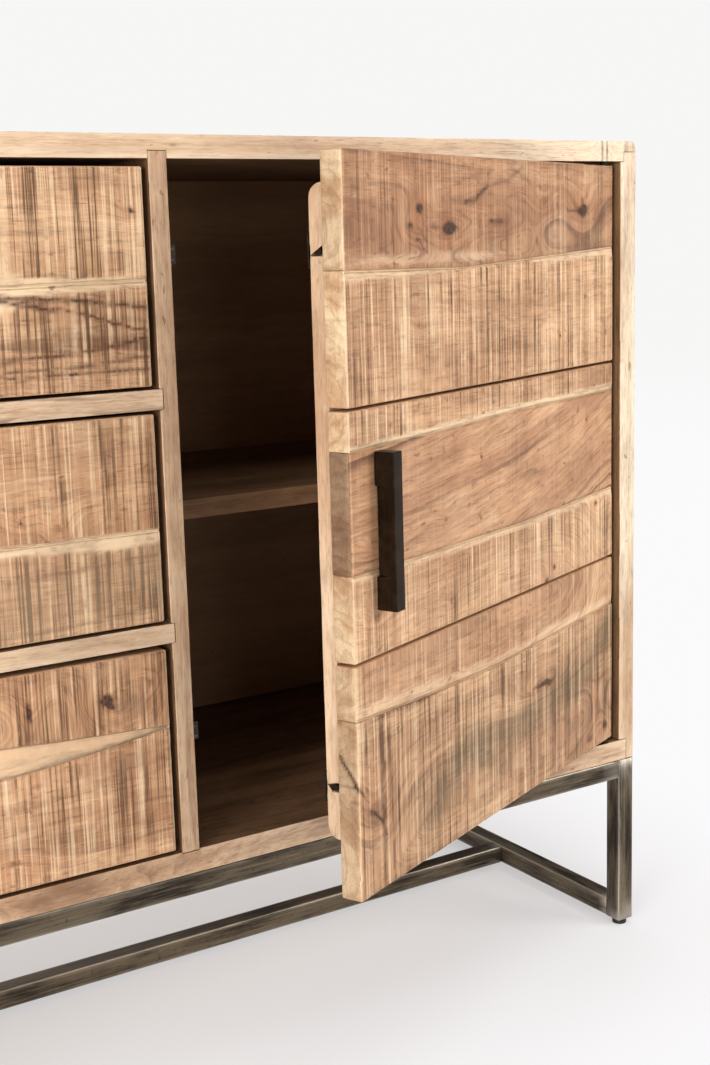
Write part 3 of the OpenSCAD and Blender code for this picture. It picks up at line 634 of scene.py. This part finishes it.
class PlankSurface:
    """Works out the relief and the marks of one plank at given places."""

    def __init__(self, plank, low_line, high_line, a, b, deep, normal):
        self.plank, self.a, self.b, self.deep = plank, a, b, deep
        self.low, self.high = line_at(a, low_line), line_at(a, high_line)
        self.front = smooth(-normal[:, Y], 0.3, 0.8)
        self.ends = np.abs(normal[:, X])
        self.speckle = wander(a / 5, b / 5, deep / 5, plank.seed + 31)
        self.bent_a = a + 2.2 * layered(a / 9, b / 6, 0, plank.seed + 51)
        self.bent_b = b + 1.6 * layered(a / 9, b / 6, 5, plank.seed + 52)

    def bevelled(self, grow):
        """1 on the planed slopes along the plank's long edges, with a ragged limit."""
        total = np.zeros(len(self.a))
        ragged = 1 + 0.30 * layered(self.a / 45, 0.5, 0.5, self.plank.seed + 3) + 0.10 * self.comb()
        if self.plank.top_bevel:
            reach = line_at(self.a, self.plank.top_bevel) * ragged + 0.01
            total = smooth(self.b, self.high - reach, self.high - reach * grow)
        if self.plank.low_bevel:
            reach = line_at(self.a, self.plank.low_bevel) * ragged + 0.01
            total = np.maximum(total, smooth(-self.b, -self.low - reach, -self.low - reach * grow))
        return total

    def comb(self):
        """The saw's pattern across the plank, about -1 to 1: broad streaks of uneven width."""
        a, b, seed = self.a, self.b, self.plank.seed
        lean = a + 0.03 * b
        broad = wander(lean / 8.5, b / 90, 1, seed + 21)
        narrow = wander(lean / 3.6, b / 50, 2, seed + 22)
        return 0.6 * broad + 0.5 * narrow

    def relief(self):
        """How far the front stands back from the plank's face."""
        plank, a, b, seed = self.plank, self.a, self.b, self.plank.seed
        bevel = self.bevelled(0.0)
        swell = 0.18 + 0.18 * layered(a / 120, b / 45, 0, seed + 1)
        cuts = plank.sawn * (1 - bevel) * (0.15 + 0.13 * self.comb())
        back = plank.rest + swell + cuts + plank.bevel * bevel
        for at, size, dark in plank.knots:
            back = back + 0.5 * dark * bell(a, b, at, size)
        for points, width, dark in plank.streaks:
            back = back + 0.5 * dark * np.exp(-(away_from_line(a, b, points) / width) ** 2)
        rough = 0.25 + 0.22 * layered(self.deep / 9, b / 9, 0.5, seed + 2)
        return back * self.front + (rough + 1.2 * self.cracked()) * self.ends

    def cracked(self):
        """1 in the cracks of the plank's ends, whose points are depth and height."""
        crack = np.zeros(len(self.a))
        for points in self.plank.end_cracks:
            crack = np.maximum(crack, np.exp(-(away_from_line(self.deep, self.b, points) / 2.0) ** 2))
        return crack

    def darkness(self):
        plank, a, b, seed = self.plank, self.a, self.b, self.plank.seed
        dark = 0.45 * smooth(wander(a / 8, b / 5, self.deep / 8, seed + 32), 0.78, 0.97)
        for at, size, strength in plank.knots:
            core = bell(self.bent_a, self.bent_b, at, size)
            heart = smooth(core + 0.1 * self.speckle, 0.4, 0.7)
            dark = dark + strength * (0.45 * smooth(core, 0.12, 0.6) + 0.7 * heart)
        for points, width, strength in plank.streaks:
            uneven = width * (1 + 0.5 * wander(a / 11, b / 11, 0, seed + 33))
            away = away_from_line(self.bent_a, self.bent_b, points)
            dark = dark + strength * np.exp(-(away / uneven) ** 2)
        return unit(dark + self.cracked() * self.ends)

    def sapwood(self):
        sap = self.bevelled(0.6) * self.plank.bevel_pale
        for at, size, strength in self.plank.pale:
            patch = smooth(bell(self.a, self.b, at, size) + 0.1 * self.speckle, 0.2, 0.6)
            sap = np.maximum(sap, strength * patch)
        return sap

    def stain(self):
        a, b, seed = self.a, self.b, self.plank.seed
        grey = 0.12 * smooth(layered(a / 80, b / 30, self.deep / 40, seed + 34), 0.2, 0.8)
        for points, width, strength in self.plank.stains:
            ragged = away_from_line(a, b, points) + 0.3 * width * layered(a / 40, b / 16, 0, seed + 35)
            grey = grey + strength * np.exp(-(np.maximum(ragged, 0) / width) ** 2)
        return unit(grey)

    def attributes(self, edge):
        plank, a, b, seed = self.plank, self.a, self.b, self.plank.seed
        sap = self.sapwood()
        halo = np.zeros(len(a))
        heavy = 0.35 * smooth(layered(a / 60, b / 30, 3, seed + 40), 0.1, 0.8)
        for at, size, strength in plank.knots:
            halo = np.maximum(halo, strength * bell(a, b, at, (2.2 * size[0] + 4, 2.2 * size[1] + 4)))
        for at, size, strength in plank.heavy:
            heavy = heavy + strength * bell(a, b, at, size)
        middle = float(np.mean((self.low + self.high) / 2))
        level = b - line_at(a, plank.sweep)
        flow = grain_flow(a, level, self.deep, seed, (middle + plank.pith[0], plank.pith[1]), plank.knots)
        sawn = plank.sawn * self.front * (1 - smooth(sap, 0.2, 0.7))
        sawn = sawn * (0.55 + 0.45 * smooth(layered(a / 70, b / 40, 1, seed + 36), -0.6, 0.0))
        # lift holds each plank's tone, its end faces' tone, and a painted highlight along the front's upright
        # arrises (edge).
        lift = plank.tone + 0.55 * edge + plank.end_tone * self.ends
        lift = lift + 0.10 * layered(a / 110, b / 50, self.deep / 50, seed + 37)
        red = plank.red * (0.75 + 0.35 * wander(a / 80, b / 40, 0, seed + 38)) * self.front + 0.6 * halo
        figure = plank.figure * (0.7 + 0.5 * wander(a / 90, b / 40, 0, seed + 39))
        return {
            "flow": list(flow.T),
            "marks": [self.darkness(), unit(sap), unit(figure)],
            "tint": [self.stain(), unit(red), lift],
            "saw": [unit(sawn), 0.5 + 0.2 * self.comb(), unit(heavy)],
        }


def plank_mesh(name, plank, box, low_line, high_line, outer, mirror):
    """A plank between two lines across a panel. outer tells whether each long edge is the panel's own."""
    (x0, y0, _), (x1, y1, _) = box
    b0, b1 = float(line_at(0.0, low_line)), float(line_at(0.0, high_line))
    low, high = (x0, y0, UNDERSIDE + b0), (x1, y1, UNDERSIDE + b1)
    joint, free = 0.7, 1.8
    edge_low = (free, free, free if outer[0] else joint)
    edge_high = (free, free, free if outer[1] else joint)
    pitch = (1.7, 2.0 if plank.end_cracks else 4.0, 2.4)
    plain, normal, rounded, faces = rounded_box(low, high, pitch, edge_low, edge_high)

    def level(points):
        """Moves grid points from the plain box to between the plank's own lines."""
        a = (x1 - points[:, X]) if mirror else (points[:, X] - x0)
        share = (points[:, Z] - UNDERSIDE - b0) / (b1 - b0)
        return a, line_at(a, low_line) * (1 - share) + line_at(a, high_line) * share

    a, b = level(plain)
    surface = PlankSurface(plank, low_line, high_line, a, b, plain[:, Y] - y0, normal)
    sides = np.stack([np.minimum(a, x1 - x0 - a), plain[:, Y] - y0], 1)
    upright = (1 - smooth(np.max(sides, 1), 0.4, 2.6)) * (normal[:, Y] < 0.3)
    chip = smooth(layered(a / 16, b / 12, plain[:, Y] / 9, plank.seed + 6), 0.45, 0.9) * upright * 1.2
    points = rounded.copy()
    points[:, Z] = UNDERSIDE + level(rounded)[1]
    points -= normal * (np.maximum(surface.relief(), 0) + chip)[:, None]
    mesh = finished_mesh(name, points, faces)
    # upright chips the front's upright arrises and, through lift, paints a highlight on them.
    put_attributes(mesh, **surface.attributes(upright))
    cut_end = np.abs(face_normals(mesh)[:, X]) > 0.75
    mesh.polygons.foreach_set("material_index", cut_end.astype(np.int32))
    return mesh


def add_panel(node, body, planks, joints, box, mirror=False, matrix=None):
    """The planks of one CAD panel, lowest first, with the lines where they meet."""
    low, high = box
    lines = [low[Z] - UNDERSIDE, *joints, high[Z] - UNDERSIDE]
    for n, plank in enumerate(planks):
        outer = (n == 0, n == len(planks) - 1)
        name = f"{node}_plank_{n + 1}"
        mesh = plank_mesh(name, plank, box, lines[n], lines[n + 1], outer, mirror)
        add_piece(name, mesh, body, SAWN, [node], matrix)


# ---- planed boards

@dataclass
class Board:
    """How one planed board grew and was glued up from staves. grain and wide are axes. Sapwood starts
    between the two places of wedge. inner names the faces inside the carcass, by axis and side: these take
    the darker wood that paints the shade inside the cabinet and in its gaps. fine is a stretch along the
    grain that is cut closely enough for cracks."""
    grain: int
    wide: int
    seed: int
    staves: int = 1
    tone: float = 0.0
    red: float = 0.0
    pale: float = 0.0
    figure: float = 0.45
    pith: tuple = (-30, 25)
    knots: tuple = ()
    round: float = 1.0
    pitch: float = 9.0
    wedge: tuple = ()
    inner: tuple = ()
    fine: tuple = ()


FINE_PITCH = 1.3
SMALL_FACE = 40 * MM * MM


def rounded_copy(node, width, smallest=-1.0, matrix=None):
    """A CAD node's mesh with its arrises rounded, apart from those of faces no larger than smallest."""
    form = bmesh.new()
    form.from_mesh(frame["nodes"][node].data)
    if matrix is not None:
        bmesh.ops.transform(form, matrix=matrix.inverted(), verts=form.verts)
    bmesh.ops.remove_doubles(form, verts=form.verts, dist=1e-6)
    bmesh.ops.dissolve_limit(form, angle_limit=FLAT, verts=form.verts, edges=form.edges)
    sharp = [e for e in form.edges if len(e.link_faces) == 2 and e.calc_face_angle(0) > SHARP
             and min(f.calc_area() for f in e.link_faces) > smallest]
    bmesh.ops.bevel(form, geom=sharp, offset=width * MM, segments=2, profile=0.5, affect="EDGES",
                    clamp_overlap=True)
    return form


def cut_copy(node, board, matrix):
    """A rounded copy of a board, cut into cells that can carry grain and wear."""
    form = rounded_copy(node, board.round, SMALL_FACE, matrix)
    places = np.array([v.co for v in form.verts]) / MM
    pitch = [12.0] * 3
    pitch[board.grain] = 2.2 * board.pitch
    pitch[board.wide] = board.pitch
    for axis in range(3):
        low, high = places[:, axis].min(), places[:, axis].max()
        cuts = list(np.arange(low + pitch[axis], high - 0.4 * pitch[axis], pitch[axis]))
        if axis == board.grain and board.fine:
            cuts += list(np.arange(*board.fine, FINE_PITCH))
        if axis == board.wide:
            width = (high - low) / board.staves
            cuts += [low + width * n + side for n in range(1, board.staves) for side in (-0.7, 0.0, 0.7)]
        direction = Vector([float(axis == n) for n in range(3)])
        for cut in cuts:
            bmesh.ops.bisect_plane(form, geom=form.verts[:] + form.edges[:] + form.faces[:],
                                   plane_co=direction * cut * MM, plane_no=direction)
    return form


def board_marks(board, p):
    """Relief and attributes of a planed board at its points."""
    low, high = p.min(0), p.max(0)
    deep = 3 - board.grain - board.wide
    width = (high[board.wide] - low[board.wide]) / board.staves
    stave = np.clip(((p[:, board.wide] - low[board.wide]) / width).astype(int), 0, board.staves - 1)
    along, across, depth = p[:, board.grain], p[:, board.wide], p[:, deep] - low[deep]
    seam = np.full(len(p), 9.0)
    flow, shade = np.zeros((3, len(p))), np.zeros(len(p))
    for n in range(board.staves):
        here = stave == n
        turn = 1 if (board.seed + n) % 2 else -1
        middle = low[board.wide] + width * (n + 0.5)
        pith = (middle + board.pith[0] * turn, board.pith[1] * turn)
        inside = along[here], across[here], depth[here]
        flow[:, here] = grain_flow(*inside, board.seed + 7 * n, pith, board.knots).T
        shade[here] = 0.10 * math.sin(3.1 * n + board.seed)
        if n:
            seam = np.minimum(seam, np.abs(across - low[board.wide] - width * n))
    gap = np.exp(-(seam / 0.5) ** 2)
    edge = arris(p, low, high, 2.2)
    dark = 0.4 * smooth(wander(*(p.T / 7), board.seed + 32), 0.8, 0.97) + 0.5 * gap
    for at, size, strength in board.knots:
        core = bell(along, across, at, size) + 0.1 * wander(*(p.T / 5), 3)
        dark = dark + strength * smooth(core, 0.3, 0.8)
    sap = board.pale * smooth(layered(along / 260, across / 70, depth / 40, board.seed + 12), -0.5, 0.1)
    if board.wedge:
        slope = (along - board.wedge[0]) / (board.wedge[1] - board.wedge[0])
        sap = np.maximum(sap, 0.7 * smooth(slope - (p[:, Z] - low[Z]) / (high[Z] - low[Z]), -0.15, 0.25))
    sap = sap * smooth(low[Y] + 90 - p[:, Y], 0, 60)
    cloud = layered(along / 150, across / 60, depth / 60, board.seed + 37)
    # 0.3 * edge is a painted highlight along the board's arrises.
    lift = board.tone + shade + 0.3 * edge + 0.10 * cloud
    red = board.red * (0.6 + 0.5 * wander(along / 200, across / 60, depth / 60, board.seed + 38))
    figure = board.figure * (0.7 + 0.5 * wander(along / 120, across / 50, depth / 50, board.seed + 39))
    none = np.zeros(len(p))
    relief = 0.08 + 0.08 * layered(along / 160, across / 60, depth / 60, board.seed + 1)
    relief = relief + 0.35 * edge * (0.5 + 0.5 * wander(*(p.T / 16), board.seed + 4)) + 0.15 * gap
    layers = {
        "flow": list(flow),
        "marks": [unit(dark), unit(sap), unit(figure)],
        "tint": [none, unit(red), lift],
        "saw": [none, none + 0.5, none],
    }
    return relief, layers


def add_board(node, body, board, tones, matrix=None):
    """A grained board in place of a CAD node, of exactly its shape."""
    form = cut_copy(node, board, matrix)
    form.normal_update()
    points = np.array([v.co for v in form.verts]) / MM
    normal = np.array([v.normal for v in form.verts])
    relief, layers = board_marks(board, points)
    points -= normal * np.maximum(relief, 0)[:, None]
    for vertex, place in zip(form.verts, points):
        vertex.co = place * MM
    mesh = mesh_from(form, node + "_grain")
    mesh.shade_smooth()
    put_attributes(mesh, **layers)
    facing = face_normals(mesh)
    index = (np.abs(facing[:, board.grain]) > 0.8).astype(np.int32)
    # Faces inside the carcass take the painted-shade materials (index 2 and 3).
    for axis, side in board.inner:
        index[facing[:, axis] * side > 0.9] += 2
    mesh.polygons.foreach_set("material_index", index)
    piece = add_piece(node + "_grain", mesh, body, tones, [node], matrix)
    piece.modifiers.new("normals", "WEIGHTED_NORMAL").keep_sharp = True


# ---- the sideboard's wood

SAWN = [wood_material("sawn_planks", FRONT), end_material("plank_ends", FRONT)]
PLANED = [wood_material("smooth_boards", FRAME), end_material("board_ends", FRAME)]
# Painted-shade materials: darker wood for the inner carcass faces and the boards inside, standing for the shade
# there.
SHADED = [wood_material("painted_shade_boards", PAINTED_SHADE_TONES), end_material("painted_shade_ends", PAINTED_SHADE_TONES)]
BOTH_SIDES = ((X, -1), (X, 1))
ABOVE_BELOW = ((Z, -1), (Z, 1))


def add_carcass():
    cracks = (((756, -212), (1.5, 9), 0.75), ((762, -212), (1.2, 14), 0.95), ((787, -212), (3.5, 4), 0.5),
              ((796, -205), (1.5, 12), 0.4))
    side = {"tone": -0.14, "figure": 0.8, "pitch": 10}
    divider = {"red": 0.35, "figure": 1.0, "pitch": 10, "inner": BOTH_SIDES}
    rail = {"red": 0.2, "tone": 0.08, "figure": 1.0, "pitch": 8, "inner": ABOVE_BELOW}
    cabinet = {
        "top_board": Board(X, Y, 31, 5, tone=0.06, red=0.15, pith=(-40, 30), pitch=10, wedge=(600, 652),
                           inner=((Z, -1),), fine=(750, 799), knots=cracks),
        "bottom_board": Board(X, Y, 36, 5, tone=-0.1, red=0.2, figure=0.9, pith=(-50, 30), pitch=10,
                              inner=((Z, 1),), knots=(((155, -212), (46, 9), 0.3),)),
        "left_side_panel": Board(Z, Y, 41, 4, pale=0.8, inner=((X, 1),), **side),
        "right_side_panel": Board(Z, Y, 44, 4, pale=0.9, inner=((X, -1),), **side),
        "left_divider": Board(Z, Y, 51, 4, tone=-0.3, **divider),
        "right_divider": Board(Z, Y, 57, 4, tone=-0.33, **divider),
        "upper_drawer_rail": Board(X, Y, 61, **rail),
        "lower_drawer_rail": Board(X, Y, 66, **rail),
    }
    # The back panel, shelves and guides are wholly in the painted-shade wood.
    inside = {
        "back_panel": Board(X, Z, 71, figure=0.15, tone=0.3, pith=(-300, 40), pitch=18, round=0.6),
        "left_shelf": Board(X, Y, 81, 4),
        "right_shelf": Board(X, Y, 86, 4),
        "drawer_guides": Board(Y, Z, 88, pitch=12),
    }
    for node, board in cabinet.items():
        add_board(node, "cabinet", board, PLANED + SHADED)
    for node, board in inside.items():
        add_board(node, "cabinet", board, SHADED)


SEEN_DOOR = {
    "upper": (
        [(0, 523), (190, 521), (477, 533)],
        Plank(102, pith=(-60, 40), top_bevel=((0, 10), (120, 6), (190, 2), (300, 3), (380, 9), (477, 11)),
              bevel=1.5, bevel_pale=0.8, figure=0.25,
              knots=(((365, 452), (2.5, 3), 0.9), ((468, 451), (2.5, 3.5), 0.9),
                     ((107, 477), (1.6, 1.6), 0.7)),
              streaks=(([(0, 486), (45, 481)], 0.7, 0.5), ([(0, 459), (40, 463)], 0.7, 0.5)),
              heavy=(((110, 503), (90, 9), 0.9), ((400, 500), (60, 8), 0.5), ((365, 455), (20, 40), 0.5))),
        Plank(101, pith=(-20, 26), sawn=0.5, red=0.45, tone=-0.2, rest=0.3, figure=0.85,
              knots=(((111, 569), (6, 5), 0.95), ((160, 553), (15, 7), 0.9), ((135, 554), (12, 2), 0.5),
                     ((242, 558), (20, 3), 0.6), ((417, 568), (12, 8), 1.0), ((96, 555), (6, 4), 0.6),
                     ((333, 577), (7, 5), 0.45), ((318, 541), (3, 5), 0.5)),
              streaks=(([(120, 545), (106, 555), (96, 556)], 1.2, 0.6),
                       ([(122, 534), (110, 543), (104, 545)], 1.3, 1.0),
                       ([(165, 575), (200, 574), (225, 588), (262, 593), (290, 605)], 2.2, 0.5),
                       ([(270, 604), (310, 590), (345, 588)], 2.0, 0.45),
                       ([(382, 569), (412, 568)], 2.0, 0.8),
                       ([(230, 600), (225, 588), (205, 578), (185, 574)], 1.8, 0.4)),
              pale=(((130, 530), (120, 5), 0.7),), heavy=(((60, 560), (70, 50), 0.5),)),
    ),
    "middle": (
        [(0, 291), (110, 289.5), (280, 287.5), (477, 292)],
        Plank(105, pith=(-50, 30), rest=0.15, end_tone=-0.15, top_bevel=((0, 5), (477, 9)), bevel=1.1,
              bevel_pale=0.6, figure=0.3,
              knots=(((444, 281), (3, 3), 0.9), ((350, 233), (3, 2.5), 0.9), ((153, 242), (2.5, 2), 0.6),
                     ((34, 253), (5, 4), 0.5), ((333, 224), (5, 3), 1.0), ((470, 226), (26, 24), 0.05)),
              heavy=(((380, 262), (110, 16), 0.5),)),
        [(0, 387), (120, 388), (280, 391), (477, 391)],
        Plank(104, pith=(-160, 20), sweep=((0, -6), (120, 0), (260, 14), (400, 44), (477, 70)), sawn=0.12,
              red=0.35, tone=-0.03, rest=0.8, end_tone=-0.75, figure=0.8,
              knots=(((209, 358), (2.6, 2.6), 0.8), ((425, 367), (3, 3), 0.8),
                     ((145, 313), (3, 2.5), 0.6), ((33, 314), (6, 1.5), 0.5))),
        Plank(103, pith=(30, 30), rest=0.1, low_bevel=((0, 6), (477, 8)), bevel=0.9, tone=-0.03,
              figure=0.3),
    ),
    "lower": (
        [(0, 175), (95, 169), (236, 164), (454, 169), (477, 170)],
        Plank(107, pith=(-30, 34), tone=-0.12, end_tone=-0.2, figure=0.7,
              knots=(((328, 124), (26, 3.5), 0.75), ((26, 90), (17, 18), 0.42), ((467, 44), (7, 7), 0.75),
                     ((430, 38), (8, 4), 0.6), ((449, 70), (5, 9), 0.4)),
              streaks=(([(60, 42), (110, 66), (170, 92)], 1.4, 0.35),
                       ([(0, 121), (5, 117), (9, 112)], 1.5, 1.0),
                       ([(40, 70), (34, 84), (24, 92), (14, 100)], 2.0, 0.5)),
              stains=(([(110, 60), (170, 98), (250, 88), (330, 104), (420, 112), (480, 150)], 22, 0.82),
                      ([(90, 75), (180, 110), (300, 96)], 12, 0.4), ([(470, 40), (478, 130)], 9, 0.4)),
              heavy=(((150, 150), (150, 16), 0.7), ((420, 110), (60, 40), 0.5)),
              end_cracks=([(18, 145), (9, 132), (0, 118)],)),
        Plank(106, pith=(20, 26), sawn=0.6, end_tone=-0.25, red=0.2, rest=0.3,
              low_bevel=((0, 15), (240, 12), (477, 14)), bevel=0.9, bevel_pale=0.55, figure=0.4,
              knots=(((470, 205), (24, 18), 0.05), ((152, 181), (2.5, 2), 0.6))),
    ),
}
OTHER_DOOR = {
    "upper": (
        [(0, 507), (300, 505), (477, 498)],
        Plank(142, pith=(25, 24), sawn=0.4, red=0.5, rest=0.5, knots=(((90, 470), (6, 5), 0.7),),
              streaks=(([(60, 440), (200, 452), (420, 440)], 1.4, 0.4),), figure=0.6),
        Plank(141, pith=(-50, 30), low_bevel=((0, 9), (477, 6)), figure=0.3,
              knots=(((330, 560), (12, 7), 0.8), ((120, 590), (4, 4), 0.6)),
              heavy=(((90, 540), (60, 40), 0.6),)),
    ),
    "middle": (
        [(0, 262), (240, 266), (477, 264)],
        Plank(145, pith=(10, 30), rest=0.1, top_bevel=((0, 5), (477, 7)), tone=0.08, figure=0.2),
        [(0, 340), (477, 346)],
        Plank(144, pith=(80, 24), sawn=0.15, red=0.3, rest=0.8, knots=(((400, 300), (8, 6), 0.7),),
              figure=0.6),
        Plank(143, low_bevel=((0, 8), (477, 10)), figure=0.3,
              stains=(([(60, 370), (250, 382), (400, 370)], 12, 0.45),)),
    ),
    "lower": (
        [(0, 126), (260, 118), (477, 112)],
        Plank(147, pith=(40, 24), sawn=0.6, red=0.25, rest=0.5, knots=(((420, 70), (5, 5), 0.8),),
              stains=(([(40, 60), (200, 50)], 14, 0.5),), figure=0.5),
        Plank(146, pith=(-30, 30), low_bevel=((0, 12), (477, 9)), figure=0.35,
              knots=(((250, 170), (14, 6), 0.85),)),
    ),
}
DRAWERS = {
    "upper": (
        [(0, 512), (380, 516), (524, 518)],
        Plank(212, pith=(20, 28), tone=-0.04, top_bevel=((0, 9), (360, 14), (440, 9), (524, 5)),
              bevel=1.5, figure=1.0, knots=(((330, 470), (5, 4), 0.5),),
              heavy=(((450, 480), (160, 40), 0.8),), pale=(((330, 505), (90, 16), 0.9),),
              streaks=(([(250, 507), (400, 509), (461, 504), (526, 496)], 1.9, 0.9),
                       ([(300, 508), (400, 505), (462, 495), (508, 481), (526, 476)], 1.8, 0.95),
                       ([(240, 452), (400, 459), (474, 463), (503, 468), (526, 472)], 1.8, 0.9),
                       ([(240, 446), (400, 450), (474, 452), (526, 456)], 1.6, 0.8),
                       ([(240, 443), (526, 446)], 1.5, 0.8))),
        Plank(211, pith=(-30, 26), rest=0.2, tone=-0.07, pale=(((320, 522), (90, 12), 0.9),),
              low_bevel=((0, 14), (300, 13), (430, 8), (524, 3)), bevel=1.2, figure=0.35,
              knots=(((515, 574), (3.5, 4), 0.95), ((120, 560), (8, 6), 0.8)),
              heavy=(((430, 570), (160, 60), 0.9),)),
    ),
    "middle": (
        [(0, 308), (380, 311), (524, 310)],
        Plank(222, pith=(35, 30), rest=0.2, top_bevel=((0, 12), (410, 9), (470, 15), (524, 12)),
              bevel=1.3, tone=0.1, figure=0.9, stains=(([(250, 266), (430, 258), (520, 266)], 24, 0.32),),
              streaks=(([(260, 292), (400, 283), (524, 290)], 2.0, 0.5),
                       ([(260, 246), (420, 238), (524, 246)], 2.0, 0.5)),
              heavy=(((440, 260), (120, 40), 0.5),)),
        Plank(221, pith=(-45, 30), rest=0.1, figure=0.35, red=0.15, low_bevel=((0, 3), (524, 3)),
              knots=(((130, 380), (8, 5), 0.8), ((405, 331), (2.5, 2.5), 0.7), ((437, 322), (4, 5), 0.5))),
    ),
    "lower": (
        [(0, 104), (372, 121), (425, 125), (470, 130), (524, 137)],
        Plank(233, pith=(45, 30), red=0.35, rest=0.3, figure=0.5, knots=(((380, 48), (7, 3), 0.6),),
              heavy=(((460, 90), (90, 30), 0.7),),
              streaks=(([(250, 70), (420, 96), (520, 112)], 1.4, 0.3),)),
        [(0, 162), (374, 148), (425, 144.5), (524, 139)],
        Plank(232, pith=(10, 20), sawn=0.05, rest=0.7, tone=0.28, figure=0.5,
              streaks=(([(0, 105), (372, 122), (425, 126), (470, 131), (524, 138)], 2.2, 1.0),
                       ([(0, 161), (374, 147), (425, 143.5), (524, 138)], 1.0, 0.4))),
        Plank(231, pith=(-20, 26), rest=0.1, red=0.1, tone=0.03, figure=0.5,
              heavy=(((440, 170), (90, 30), 0.6),),
              knots=(((470, 172), (8, 6), 0.95), ((474, 165), (4, 3), 0.9), ((495, 164), (17, 11), 0.38),
                     ((401, 174), (3, 10), 0.9), ((511, 181), (4, 3), 0.5))),
    ),
}


def parts_of(layout):
    """Splits a layout into its planks and the lines between them. Planks are listed lowest first."""
    planks = [item for item in layout if isinstance(item, Plank)]
    return planks, [item for item in layout if not isinstance(item, Plank)]


def add_door(side, look):
    """A door is made closed. The right one is then turned to where the frame holds it open."""
    name = "right_door" if side > 0 else "left_door"
    matrix = OPENED if side > 0 else None
    for level, layout in look.items():
        closed = corners(f"left_door_{level}_panel")
        box = mirrored(closed) if side > 0 else closed
        planks, joints = parts_of(layout)
        add_panel(f"{name}_{level}_panel", name, planks, joints, box, side < 0, matrix)
    battens = Board(Z, X, 91 + side, red=0.25, pitch=7)
    add_board(name + "_battens", name, battens, PLANED, matrix)
    add_handle(name)


def add_drawer(level):
    body = level + "_drawer"
    planks, joints = parts_of(DRAWERS[level])
    add_panel(body + "_front", body, planks, joints, corners(body + "_front"))
    seed = 400 + 10 * len(level)
    add_board(body + "_sides", body, Board(Y, Z, seed, tone=0.1, pitch=12), PLANED)
    add_board(body + "_back", body, Board(X, Z, seed + 3, tone=0.1, pitch=12), PLANED)
    bottom = Board(X, Y, seed + 5, figure=0.15, pitch=16, round=0.6, pith=(-300, 40))
    add_board(body + "_bottom", body, bottom, PLANED)
    add_handle(body)


# ---- fittings and steel

HANDLE = metal_material("dark_bronze", srgb(38, 29, 21), srgb(62, 47, 34), 0.36)
DULL = metal_material("dull_steel", srgb(50, 44, 38), srgb(34, 30, 26), 0.45)
BRIGHT = metal_material("bright_steel", srgb(128, 121, 112), srgb(84, 76, 68), 0.32)
CATCH = plastic_material("catch_plastic", srgb(58, 48, 40), srgb(78, 66, 56), 0.5)
FOOT = plastic_material("foot_plastic", srgb(24, 24, 24), srgb(46, 46, 46), 0.45)
STEEL = {axis: steel_material("raw_steel_" + "xyz"[axis], axis) for axis in (X, Y, Z)}


def add_handle(body):
    """A copy of the CAD handle with its arrises rounded."""
    node = body + "_handle"
    mesh = mesh_from(rounded_copy(node, HANDLE_ROUND), node + "_detail")
    mesh.shade_smooth()
    piece = add_piece(node + "_detail", mesh, body, [HANDLE], [node])
    piece.modifiers.new("normals", "WEIGHTED_NORMAL").keep_sharp = True


def add_tube(name, node, along, sides, seed):
    """One square tube of a CAD node, with rolled corners and a slightly uneven skin. sides has -1 or 1
    for each axis on which the tube fills only the low or the high end of the node's box."""
    low, high = corners(node)
    for axis, side in enumerate(sides):
        if side > 0:
            low[axis] = high[axis] - TUBE
        if side < 0:
            high[axis] = low[axis] + TUBE
    edge = [1.8] * 3
    edge[along] = 0.5
    pitch = [2.6] * 3
    pitch[along] = 12.0
    plain, normal, rounded, faces = rounded_box(low, high, pitch, edge, edge)
    skin = 0.04 + 0.04 * layered(*(plain.T / 40), seed)
    mesh = finished_mesh(name, rounded - normal * skin[:, None], faces)
    none = np.zeros(len(plain))
    to_end = np.minimum(plain[:, along] - low[along], high[along] - plain[:, along])
    ground = (1 - smooth(to_end, 6, 30)) * smooth(layered(*(plain.T / 9), seed + 2), -0.3, 0.6)
    # Painted highlight along the tube's arrises, with real bright grinding near its ends.
    highlight_and_ground = np.maximum(arris(plain, low, high, 2.4), 0.75 * ground)
    put_attributes(mesh, marks=[highlight_and_ground, none, none])
    add_piece(name, mesh, "cabinet", [STEEL[along]], [node])


def add_base():
    left_right = ((-1, "left"), (1, "right"))
    front_rear = ((-1, "front"), (1, "rear"))
    for sx, side in left_right:
        for sy, end in front_rear:
            add_tube(f"{end}_{side}_leg", "base_legs", Z, (sx, sy, 0), 301 + sx + 2 * sy)
    for sy, end in front_rear:
        add_tube(end + "_top_rail", "base_long_rails", X, (0, sy, 0), 311)
    for sx, side in left_right:
        for sz, level in ((-1, "floor"), (1, "top")):
            add_tube(f"{side}_{level}_cross_rail", "base_cross_rails", Y, (sx, 0, sz), 321)
    add_tube("floor_stretcher_tube", "floor_stretcher", X, (0, 0, 0), 331)


def finish_cad_nodes():
    """Materials for the CAD nodes that stay as they are."""
    by_slot = {"bright_steel": BRIGHT, "catch_plastic": CATCH, "foot_plastic": FOOT, "base_steel": STEEL[X]}
    for node, shown in frame["nodes"].items():
        if not shown.hide_render:
            shown.data.materials.clear()
            dull = "hinge" in node or "hardware" in node
            shown.data.materials.append(DULL if dull else by_slot[SLOT_OF[node]])


add_camera()
add_lights()
add_floor()
add_carcass()
add_door(1, SEEN_DOOR)
add_door(-1, OTHER_DOOR)
for level in ("upper", "middle", "lower"):
    add_drawer(level)
add_base()
finish_cad_nodes()
